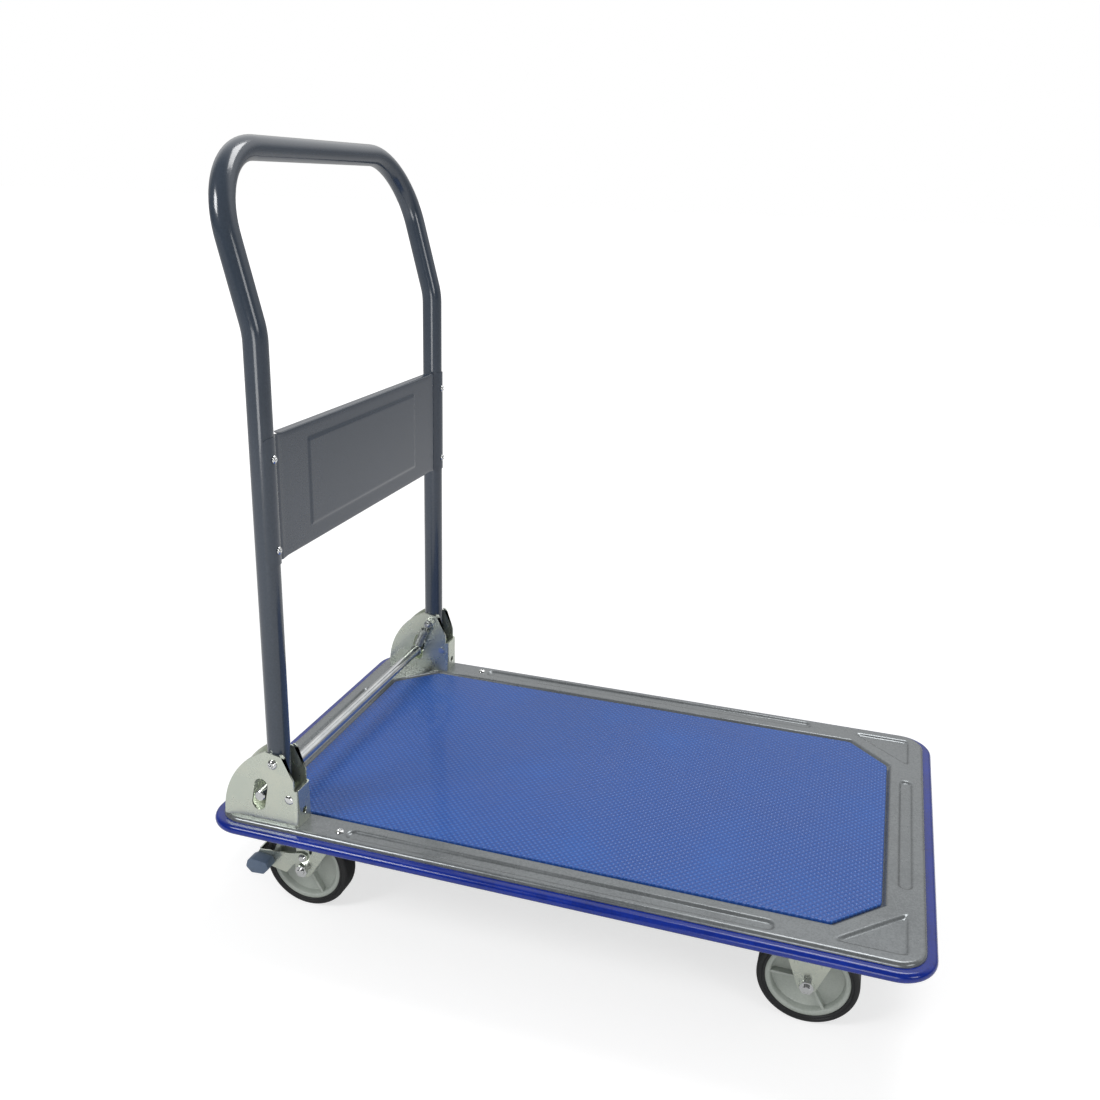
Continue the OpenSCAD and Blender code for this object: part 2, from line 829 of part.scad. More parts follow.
deck_pan();
deck_mat();
edge_bumper();
cross_member(caster_x);  // front_cross_member
cross_member(-caster_x);  // rear_cross_member
side_rails();
deck_screws();
deck_nuts();
on_side(1) bracket();  // left_bracket
on_side(-1) bracket();  // right_bracket
bracket_bolts();
bracket_nuts();
on_side(1) pivot_bolt();  // left_pivot_bolt
on_side(-1) pivot_bolt();  // right_pivot_bolt
pivot_nuts();
stop_pins();
on_side(1) lock_spring();  // left_lock_spring
on_side(-1) lock_spring();  // right_lock_spring
on_side(1) front_fork();  // left_front_fork
on_side(-1) front_fork();  // right_front_fork
both_sides() axle_bolt(caster_x);  // front_axle_bolts
both_sides() axle_nut(caster_x);  // front_axle_nuts
caster_bolts();
caster_nuts();
on_side(1) swivel_plate();  // left_swivel_plate
on_side(-1) swivel_plate();  // right_swivel_plate
kingpins();
swivel_balls();
handle_tube();
handle_panel();
panel_screws();
lock_bar();
on_side(1) swivel_fork();  // left_swivel_fork
on_side(1) axle_bolt(rear_axle_x);  // left_rear_axle_bolt
on_side(1) axle_nut(rear_axle_x);  // left_rear_axle_nut
on_side(1) brake_rivets();  // left_brake_rivets
on_side(1) brake_lever();  // left_brake_lever
on_side(1) brake_pad();  // left_brake_pad
on_side(-1) swivel_fork();  // right_swivel_fork
on_side(-1) axle_bolt(rear_axle_x);  // right_rear_axle_bolt
on_side(-1) axle_nut(rear_axle_x);  // right_rear_axle_nut
on_side(-1) brake_rivets();  // right_brake_rivets
on_side(-1) brake_lever();  // right_brake_lever
on_side(-1) brake_pad();  // right_brake_pad
on_side(1) wheel_core(caster_x);  // left_front_core
on_side(1) tyre(caster_x);  // left_front_tyre
on_side(1) wheel_bush(caster_x);  // left_front_bush
on_side(-1) wheel_core(caster_x);  // right_front_core
on_side(-1) tyre(caster_x);  // right_front_tyre
on_side(-1) wheel_bush(caster_x);  // right_front_bush
on_side(1) wheel_core(rear_axle_x);  // left_rear_core
on_side(1) tyre(rear_axle_x);  // left_rear_tyre
on_side(1) wheel_bush(rear_axle_x);  // left_rear_bush
on_side(-1) wheel_core(rear_axle_x);  // right_rear_core
on_side(-1) tyre(rear_axle_x);  // right_rear_tyre
on_side(-1) wheel_bush(rear_axle_x);  // right_rear_bush
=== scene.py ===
"""Folding platform cart: the looks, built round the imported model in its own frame."""

import logging
import math
from collections.abc import Callable, Sequence
from dataclasses import dataclass, field
from enum import Enum

import bmesh
import bpy
from mathutils import Matrix, Vector


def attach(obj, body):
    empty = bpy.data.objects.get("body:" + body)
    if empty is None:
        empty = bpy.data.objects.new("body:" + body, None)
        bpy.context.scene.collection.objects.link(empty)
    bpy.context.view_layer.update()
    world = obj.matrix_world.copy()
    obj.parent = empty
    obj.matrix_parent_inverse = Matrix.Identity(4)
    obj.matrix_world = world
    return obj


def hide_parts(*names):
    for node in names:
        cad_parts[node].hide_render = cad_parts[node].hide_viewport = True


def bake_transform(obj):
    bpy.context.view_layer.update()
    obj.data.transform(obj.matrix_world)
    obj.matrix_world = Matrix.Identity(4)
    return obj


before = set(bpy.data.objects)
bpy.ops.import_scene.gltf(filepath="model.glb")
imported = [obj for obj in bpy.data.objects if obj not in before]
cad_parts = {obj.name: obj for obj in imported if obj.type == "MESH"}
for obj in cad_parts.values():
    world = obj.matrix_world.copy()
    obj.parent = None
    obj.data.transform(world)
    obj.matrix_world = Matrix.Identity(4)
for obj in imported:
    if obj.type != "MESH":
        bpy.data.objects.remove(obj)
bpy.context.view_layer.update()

LOG = logging.getLogger("cart")
MM = 0.001
Flat = tuple[float, float]
Spot = tuple[float, float, float]
Loop = list[Flat]
SIDES = (("left", 1.0), ("right", -1.0))


def linear(code: str) -> tuple[float, float, float, float]:
    """Turns an sRGB hex colour into linear light.

    Args:
        code: the colour as "#RRGGBB".

    Returns:
        Linear red, green and blue, and an alpha of 1.
    """
    parts = [int(code[i : i + 2], 16) / 255 for i in (1, 3, 5)]
    red, green, blue = (c / 12.92 if c <= 0.04045 else ((c + 0.055) / 1.055) ** 2.4 for c in parts)
    return red, green, blue, 1.0


def smooth(value: float, low: float, high: float) -> float:
    """Rises smoothly from 0 at low to 1 at high.

    Args:
        value: the place to look at.
        low: where the rise starts.
        high: where it ends.

    Returns:
        A number from 0 to 1.
    """
    t = min(1.0, max(0.0, (value - low) / (high - low)))
    return t * t * (3 - 2 * t)


def arc(centre: Flat, radius: float, start: float, end: float, steps: int) -> Loop:
    """Lays points along an arc.

    Args:
        centre: the arc's centre.
        radius: its radius.
        start: the first angle, in degrees.
        end: the last angle, in degrees.
        steps: how many spans it has.

    Returns:
        The points from start to end.
    """
    angles = [math.radians(start + (end - start) * i / steps) for i in range(steps + 1)]
    return [(centre[0] + radius * math.cos(a), centre[1] + radius * math.sin(a)) for a in angles]


def spread(stops: Sequence[tuple[float, float, float]]) -> list[float]:
    """Lays grid lines with a spacing of their own in each band.

    Args:
        stops: for each band its start, its end and the spacing wanted.

    Returns:
        The lines in order, without repeats.
    """
    lines = []
    for start, end, step in stops:
        count = max(1, round((end - start) / step))
        lines += [start + (end - start) * i / count for i in range(count + 1)]
    kept: list[float] = []
    for line in sorted(lines):
        if not kept or line - kept[-1] > 0.05:
            kept.append(line)
    return kept


# ---- Materials ----


def add_node(tree: bpy.types.NodeTree, kind: str, settings: dict | None = None,
             **inputs: object) -> bpy.types.Node:
    """Adds a node with its settings and its links.

    Args:
        tree: the node tree.
        kind: the node's type.
        settings: attributes to set on the node.
        inputs: values or sockets for its inputs, with _ for a space.

    Returns:
        The new node.
    """
    node = tree.nodes.new(kind)
    for key, value in (settings or {}).items():
        setattr(node, key, value)
    for key, value in inputs.items():
        place = int(key[1:]) if key[0] == "n" and key[1:].isdigit() else key.replace("_", " ")
        if isinstance(value, bpy.types.NodeSocket):
            tree.links.new(value, node.inputs[place])
        else:
            node.inputs[place].default_value = value
    return node


class Pattern(Enum):
    """How a finish's surface was made."""

    SPRAYED = "sprayed"
    FLAKED = "flaked"
    WOVEN = "woven"
    PLATED = "plated"
    DRAWN = "drawn"
    MOULDED = "moulded"


@dataclass(frozen=True)
class Finish:
    """One real finish and the numbers that make it.

    Attributes:
        name: what a maker calls it.
        colour: its main colour.
        tint: the colour that it drifts to.
        rough: its roughness.
        pattern: how its surface was made.
        metallic: 1 for bare metal, less for paint with metal in it.
        coat: the weight of a clear glossy layer.
        grain: the pattern's spacing in millimetres.
        relief: the depth of its relief in millimetres.
        cloud: the size of its slow drift in millimetres.
        ior: its index of refraction.
    """

    name: str
    colour: str
    tint: str
    rough: float
    pattern: Pattern
    metallic: float = 0.0
    coat: float = 0.0
    grain: float = 1.0
    relief: float = 0.02
    cloud: float = 60.0
    ior: float = 1.5

    def material(self) -> bpy.types.Material:
        """Returns the finish's material, made once."""
        return bpy.data.materials.get(self.name) or self.build()

    def build(self) -> bpy.types.Material:
        """Builds the finish's material.

        Returns:
            The new material.
        """
        made = bpy.data.materials.new(self.name)
        made.use_nodes = True
        tree = made.node_tree
        tree.nodes.clear()
        place = add_node(tree, "ShaderNodeTexCoord").outputs["Object"]
        drift = add_node(
            tree, "ShaderNodeTexNoise", Vector=place, Scale=1 / (self.cloud * MM), Detail=4.0, Roughness=0.6
        ).outputs["Fac"]
        height, fine = self.relief_height(tree, place)
        blend = add_node(tree, "ShaderNodeMath", {"operation": "MULTIPLY_ADD"}, n0=fine, n1=0.5, n2=0.0)
        tree.links.new(
            add_node(tree, "ShaderNodeMath", {"operation": "MULTIPLY"}, n0=drift, n1=0.5).outputs[0],
            blend.inputs[2]
        )
        ramp = add_node(tree, "ShaderNodeValToRGB", Fac=blend.outputs[0])
        ramp.color_ramp.elements[0].position = 0.3
        ramp.color_ramp.elements[0].color = linear(self.tint)
        ramp.color_ramp.elements[1].position = 0.62
        ramp.color_ramp.elements[1].color = linear(self.colour)
        gloss = add_node(
            tree, "ShaderNodeMapRange", Value=drift, From_Min=0.3, From_Max=0.7,
            To_Min=self.rough * 0.8, To_Max=min(1.0, self.rough * 1.25),
        )
        bump = add_node(tree, "ShaderNodeBump", Height=height, Strength=1.0, Distance=self.relief * MM)
        shader = add_node(
            tree, "ShaderNodeBsdfPrincipled", Base_Color=ramp.outputs["Color"], Roughness=gloss.outputs[0],
            Metallic=self.metallic, IOR=self.ior, Coat_Weight=self.coat, Coat_Roughness=0.08,
            Normal=bump.outputs["Normal"],
        )
        add_node(tree, "ShaderNodeOutputMaterial", Surface=shader.outputs[0])
        return made

    def relief_height(
        self, tree: bpy.types.NodeTree, place: bpy.types.NodeSocket
    ) -> tuple[bpy.types.NodeSocket, bpy.types.NodeSocket]:
        """Builds the pattern's fine height.

        Args:
            tree: the material's node tree.
            place: the place on the piece.

        Returns:
            The height for the relief and the value that shades the colour.
        """
        scale = 1 / (self.grain * MM)
        if self.pattern is Pattern.WOVEN:
            waves = []
            for turn in (45, -45):
                turned = add_node(tree, "ShaderNodeMapping", Vector=place,
                                  Rotation=(0, 0, math.radians(turn)))
                waves.append(add_node(
                    tree, "ShaderNodeTexWave", Vector=turned.outputs[0], Scale=math.pi / 10 * scale,
                    Distortion=0.0
                ).outputs["Fac"])
            cross = add_node(tree, "ShaderNodeMath", {"operation": "MULTIPLY"}, n0=waves[0],
                             n1=waves[1]).outputs[0]
            return cross, cross
        if self.pattern is Pattern.FLAKED:
            flake = add_node(tree, "ShaderNodeTexVoronoi", Vector=place, Scale=scale)
            grey = add_node(tree, "ShaderNodeSeparateColor", Color=flake.outputs["Color"])
            return flake.outputs["Distance"], grey.outputs[0]
        stretch = (1.0, 0.06, 1.0) if self.pattern is Pattern.DRAWN else (1.0, 1.0, 1.0)
        turned = add_node(tree, "ShaderNodeMapping", Vector=place, Scale=stretch)
        grain = add_node(tree, "ShaderNodeTexNoise", Vector=turned.outputs[0], Scale=scale, Detail=3.0)
        return grain.outputs["Fac"], grain.outputs["Fac"]


FINISHES = {
    # Metal-flake stoving paint over pressed steel: a cool grey that sparkles finely. The real
    # flakes are about 0.1 mm, too fine to show, so they are drawn 1.4 mm across.
    "deck_paint": Finish("flaked_grey_enamel", "#7C8082", "#6F7375", 0.27, Pattern.FLAKED, 0.55, 0.3, 1.4,
                         0.0006),
    # Embossed vinyl sheet: the fine diamonds are pressed 5 mm apart.
    "mat_vinyl": Finish("embossed_blue_vinyl", "#2C64B6", "#154898", 0.38, Pattern.WOVEN, 0, 0.12, 5.0, 0.7,
                        90.0),
    # Extruded soft vinyl, glossy from the die.
    "bumper_vinyl": Finish("extruded_blue_vinyl", "#00288F", "#001A6A", 0.2, Pattern.MOULDED, 0, 0.1, 2.5,
                           0.01),
    # Gloss enamel on tube and panel, with the slight orange peel of spraying.
    "handle_paint": Finish("slate_gloss_enamel", "#3A434F", "#323B46", 0.2, Pattern.SPRAYED, 0, 0.5, 2.2,
                           0.006, 120.0),
    # Passivated zinc on pressings: a pale metal with a faint green and straw cast.
    "zinc_plate": Finish("passivated_zinc", "#D6DACC", "#C3CCC3", 0.27, Pattern.PLATED, 0.9, 0, 1.5, 0.004,
                         30.0),
    # Bright zinc on turned and headed fasteners.
    "bright_zinc": Finish("bright_zinc", "#DDDFDD", "#B9BEC0", 0.2, Pattern.PLATED, 1.0, 0, 1.2, 0.006, 8.0),
    # Bright drawn steel bar, with lines along it.
    "bright_bar": Finish("bright_drawn_steel", "#DADCDC", "#B6BABD", 0.16, Pattern.DRAWN, 1.0, 0, 0.8,
                         0.004, 30.0),
    # Zinc-plated spring wire.
    "spring_steel": Finish("plated_spring_wire", "#BFC3C1", "#8E9493", 0.3, Pattern.DRAWN, 1.0, 0, 0.8,
                           0.005, 9.0),
    # Moulded polypropylene of the wheel centres: pale grey-green with a soft sheen.
    "wheel_plastic": Finish("moulded_polypropylene", "#A9AFA8", "#989F98", 0.4, Pattern.MOULDED, 0, 0, 1.5,
                            0.02, 25.0),
    # Vulcanised rubber, dull with a fine mould texture.
    "tyre_rubber": Finish("vulcanised_rubber", "#1C1D1F", "#121314", 0.55, Pattern.MOULDED, 0, 0, 1.8, 0.03,
                          20.0),
    # Moulded nylon of the pedals.
    "pad_plastic": Finish("moulded_grey_nylon", "#5B6B80", "#4B5A6E", 0.45, Pattern.MOULDED, 0, 0, 1.2,
                          0.02, 15.0),
    # Thin grey enamel on the folded steel under the deck.
    "under_paint": Finish("thin_grey_enamel", "#6D7174", "#5B5F62", 0.5, Pattern.SPRAYED, 0.1, 0, 1.8,
                          0.015, 50.0),
}


# ---- Meshes ----


@dataclass
class Shell:
    """Points and faces in millimetres, on their way to a piece."""

    points: list[Spot] = field(default_factory=list)
    faces: list[tuple[int, ...]] = field(default_factory=list)

    def add(self, other: "Shell", place: Callable[[Spot], Spot] | None = None) -> "Shell":
        """Adds another shell's points and faces.

        Args:
            other: the shell to take in.
            place: what moves each of its points, if anything.

        Returns:
            This shell.
        """
        base = len(self.points)
        self.points += [place(p) if place else p for p in other.points]
        self.faces += [tuple(i + base for i in f) for f in other.faces]
        return self

    def grid(self, rows: Sequence[Sequence[Spot]], loop: bool = False, ring: bool = False) -> "Shell":
        """Adds faces between rows of points.

        Args:
            rows: rows of equal length.
            loop: whether each row closes on itself.
            ring: whether the last row joins the first.

        Returns:
            This shell.
        """
        base, width = len(self.points), len(rows[0])
        for row in rows:
            self.points += row
        for j in range(len(rows) if ring else len(rows) - 1):
            for i in range(width if loop else width - 1):
                a, b = base + j * width, base + (j + 1) % len(rows) * width
                self.faces.append((a + i, a + (i + 1) % width, b + (i + 1) % width, b + i))
        return self

    def cap(self, loop: Sequence[Spot]) -> "Shell":
        """Adds one face over a closed loop of points."""
        base = len(self.points)
        self.points += loop
        self.faces.append(tuple(range(base, base + len(loop))))
        return self

    def take(self, mesh: bpy.types.Mesh, place: Callable[[Spot], Spot] | None = None) -> "Shell":
        """Adds a mesh whose units are this shell's.

        Args:
            mesh: the mesh, removed afterwards.
            place: what moves each of its points, if anything.

        Returns:
            This shell.
        """
        other = Shell([tuple(v.co) for v in mesh.vertices], [tuple(p.vertices) for p in mesh.polygons])
        bpy.data.meshes.remove(mesh)
        return self.add(other, place)

    def piece(self, name: str, slot: str, angle: float = 35.0, solid: float = 0.0) -> bpy.types.Object:
        """Makes the piece, with normals outwards and its finish on.

        Args:
            name: the piece's name.
            slot: the record's material slot.
            angle: edges sharper than this stay sharp, in degrees.
            solid: a wall thickness to give to an open sheet, below its faces.

        Returns:
            The new object, in metres.
        """
        mesh = bpy.data.meshes.new(name)
        mesh.from_pydata([(x * MM, y * MM, z * MM) for x, y, z in self.points], [], self.faces)
        work = bmesh.new()
        work.from_mesh(mesh)
        bmesh.ops.remove_doubles(work, verts=work.verts, dist=0.01 * MM)
        bmesh.ops.dissolve_degenerate(work, edges=work.edges, dist=0.005 * MM)
        bmesh.ops.recalc_face_normals(work, faces=work.faces)
        if solid:
            up = sum(f.calc_area() * (f.normal.z + f.normal.x) for f in work.faces)
            if up < 0:
                bmesh.ops.reverse_faces(work, faces=work.faces)
        work.to_mesh(mesh)
        work.free()
        item = bpy.data.objects.new(name, mesh)
        bpy.context.scene.collection.objects.link(item)
        if solid:
            wall = item.modifiers.new("wall", "SOLIDIFY")
            wall.thickness = solid * MM
            wall.offset = -1
            finished(item)
        return dress(item, slot, angle)


def finished(item: bpy.types.Object) -> None:
    """Turns an object with modifiers into a plain mesh, and takes the modifiers off."""
    graph = bpy.context.evaluated_depsgraph_get()
    mesh = bpy.data.meshes.new_from_object(item.evaluated_get(graph))
    item.modifiers.clear()
    item.data = mesh


def dress(item: bpy.types.Object, slot: str, angle: float = 35.0) -> bpy.types.Object:
    """Puts a slot's finish on a piece and smooths its shading.

    Args:
        item: the piece.
        slot: the record's material slot.
        angle: edges sharper than this stay sharp, in degrees.

    Returns:
        The same piece.
    """
    item.data.materials.clear()
    item.data.materials.append(FINISHES[slot].material())
    item.data.polygons.foreach_set("material_index", [0] * len(item.data.polygons))
    item.data.shade_smooth()
    item.data.set_sharp_from_angle(angle=math.radians(angle))
    return item


def settle(item: bpy.types.Object, body: str, *nodes: str) -> None:
    """Lets a piece ride on a body in place of its CAD nodes, and reports it.

    Args:
        item: the piece.
        body: the body's name.
        nodes: the CAD nodes that it stands for.
    """
    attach(item, body)
    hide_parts(*nodes)
    LOG.info("%s rides on %s, %d faces", item.name, body, len(item.data.polygons))


def plate(outline: Loop, holes: Sequence[Loop], thick: float, edge: float = 0.3) -> Shell:
    """Cuts a flat plate with eased edges, lying in X and Y from 0 up.

    Args:
        outline: its outer outline.
        holes: the outlines of its holes.
        thick: its thickness.
        edge: the size of the eased edge.

    Returns:
        The plate.
    """
    curve = bpy.data.curves.new("outline", "CURVE")
    curve.dimensions = "2D"
    curve.fill_mode = "BOTH"
    curve.extrude = thick / 2 - edge
    curve.bevel_depth = edge
    curve.bevel_resolution = 1
    for loop in (outline, *holes):
        spline = curve.splines.new("POLY")
        spline.points.add(len(loop) - 1)
        for point, (x, y) in zip(spline.points, loop):
            point.co = (x, y, 0, 1)
        spline.use_cyclic_u = True
    item = bpy.data.objects.new("outline", curve)
    mesh = bpy.data.meshes.new_from_object(item)
    bpy.data.objects.remove(item)
    return Shell().take(mesh, lambda p: (p[0], p[1], p[2] + thick / 2))


def standing(y: float) -> Callable[[Spot], Spot]:
    """Returns what stands a flat plate in X and Z, from y on."""
    return lambda p: (p[0], y + p[2], p[1])


def moved(x: float, y: float, z: float) -> Callable[[Spot], Spot]:
    """Returns what moves a point by x, y and z."""
    return lambda p: (p[0] + x, p[1] + y, p[2] + z)


def turned_y(profile: Sequence[Flat], steps: int = 96) -> Shell:
    """Turns a closed profile of radius and Y about the Y axis.

    Args:
        profile: the points of the profile.
        steps: how many spans the turn has.

    Returns:
        The ring.
    """
    rows = []
    for i in range(steps):
        a = 2 * math.pi * i / steps
        rows.append([(r * math.cos(a), y, r * math.sin(a)) for r, y in profile])
    return Shell().grid(rows, loop=True, ring=True)


def rounded(points: Sequence[Flat], radius: float, steps: int = 5) -> Loop:
    """Rounds a polygon's corners.

    Args:
        points: the corners.
        radius: the radius wanted at each.
        steps: how many spans each round has.

    Returns:
        The rounded outline.
    """
    out: Loop = []
    count = len(points)
    for i, here in enumerate(points):
        p, a, b = Vector(here), Vector(points[i - 1]), Vector(points[(i + 1) % count])
        to_a, to_b = (a - p).normalized(), (b - p).normalized()
        half = to_a.angle(to_b) / 2
        if math.pi / 2 - half < 0.05:
            out.append((p.x, p.y))
            continue
        cut = min(radius / math.tan(half), 0.45 * (a - p).length, 0.45 * (b - p).length)
        start, end = p + to_a * cut, p + to_b * cut
        for k in range(steps + 1):
            t = k / steps
            spot = start * (1 - t) ** 2 + p * 2 * t * (1 - t) + end * t * t
            out.append((spot.x, spot.y))
    return out


def rim_path(length: float, width: float, radius: float, steps: int = 12) -> list[tuple[Vector, Vector]]:
    """Goes round a rounded rectangle from the middle of its rear end.

    Args:
        length: its size along X.
        width: its size along Y.
        radius: the radius of its corners.
        steps: how many spans each corner has.

    Returns:
        Each place and its outward direction.
    """
    corners = [(-1, -1, 180), (1, -1, 270), (1, 1, 0), (-1, 1, 90)]
    path = []
    for sx, sy, start in corners:
        centre = Vector((sx * (length / 2 - radius), sy * (width / 2 - radius)))
        for i in range(steps + 1):
            a = math.radians(start + 90 * i / steps)
            out = Vector((math.cos(a), math.sin(a)))
            path.append((centre + out * radius, out))
    return path


def swept(section: Sequence[Flat], path: Sequence[tuple[Vector, Vector]], level: float,
          split: float = 0.0) -> Shell:
    """Sweeps a section of outward distance and height round a path.

    Args:
        section: the closed section.
        path: places and outward directions.
        level: the height of the section's zero.
        split: the width of a butt joint at the start, or 0 for a closed ring.

    Returns:
        The swept shell.
    """
    stops = list(path)
    if split:
        out = Vector((-1.0, 0.0))
        x = path[0][0].x
        stops = [(Vector((x, -split / 2)), out), *path, (Vector((x, split / 2)), out)]
    rows = [[(p.x + n.x * s, p.y + n.y * s, level + z) for s, z in section] for p, n in stops]
    made = Shell().grid(rows, loop=True, ring=not split)
    if split:
        made.cap(rows[0]).cap(rows[-1])
    return made


def bend(radius: float, thick: float, start: float, length: float) -> Shell:
    """Makes the quarter bend between two flats of folded sheet, along Z.

    Args:
        radius: the outer radius.
        thick: the sheet's thickness.
        start: the angle that it starts from, in degrees.
        length: its length along Z.

    Returns:
        The bend, about the Z axis.
    """
    section = arc((0, 0), radius, start, start + 90, 6) + arc((0, 0), radius - thick, start + 90, start, 6)
    rows = [[(x, y, z) for x, y in section] for z in (0.0, length)]
    return Shell().grid(rows, loop=True).cap(rows[0]).cap(rows[1])


# ---- Repeated parts by Geometry Nodes ----


class Facing(Enum):
    """The direction that a fastener's head looks in, as turns about X, Y and Z in degrees."""

    UP = (0, 0, 0)
    DOWN = (180, 0, 0)
    FRONT = (0, 90, 0)
    LEFT = (-90, 0, 0)
    RIGHT = (90, 0, 0)


def socket_name(tree: bpy.types.NodeTree, name: str) -> str:
    """Returns the identifier of a tree's input."""
    return next(i.identifier for i in tree.interface.items_tree if i.name == name and i.in_out == "INPUT")


def new_tree(name: str, inputs: dict[str, str]) -> tuple[bpy.types.NodeTree, bpy.types.Node]:
    """Starts a Geometry Nodes tree with named inputs.

    Args:
        name: the tree's name.
        inputs: for each input its socket's type.

    Returns:
        The tree and its group input.
    """
    tree = bpy.data.node_groups.new(name, "GeometryNodeTree")
    tree.interface.new_socket("Geometry", in_out="INPUT", socket_type="NodeSocketGeometry")
    for key, kind in inputs.items():
        tree.interface.new_socket(key, in_out="INPUT", socket_type=kind)
    tree.interface.new_socket("Geometry", in_out="OUTPUT", socket_type="NodeSocketGeometry")
    return tree, add_node(tree, "NodeGroupInput")


def close_tree(tree: bpy.types.NodeTree, start: bpy.types.Node,
               shape: bpy.types.NodeSocket) -> bpy.types.NodeTree:
    """Ends a tree in Realize Instances and Set Material.

    Args:
        tree: the tree.
        start: its group input.
        shape: the geometry so far.

    Returns:
        The tree.
    """
    real = add_node(tree, "GeometryNodeRealizeInstances", Geometry=shape)
    dressed = add_node(
        tree, "GeometryNodeSetMaterial", Geometry=real.outputs[0], Material=start.outputs["Material"]
    )
    add_node(tree, "NodeGroupOutput", n0=dressed.outputs[0])
    return tree


def run_tree(item: bpy.types.Object, tree: bpy.types.NodeTree, values: dict[str, object]) -> bpy.types.Mesh:
    """Runs a tree on an object and returns the plain mesh.

    Args:
        item: the host, removed afterwards.
        tree: the tree.
        values: its inputs by name.

    Returns:
        The mesh.
    """
    bpy.context.scene.collection.objects.link(item)
    nodes = item.modifiers.new("nodes", "NODES")
    nodes.node_group = tree
    for key, value in values.items():
        nodes[socket_name(tree, key)] = value
    graph = bpy.context.evaluated_depsgraph_get()
    mesh = bpy.data.meshes.new_from_object(item.evaluated_get(graph))
    bpy.data.objects.remove(item)
    return mesh


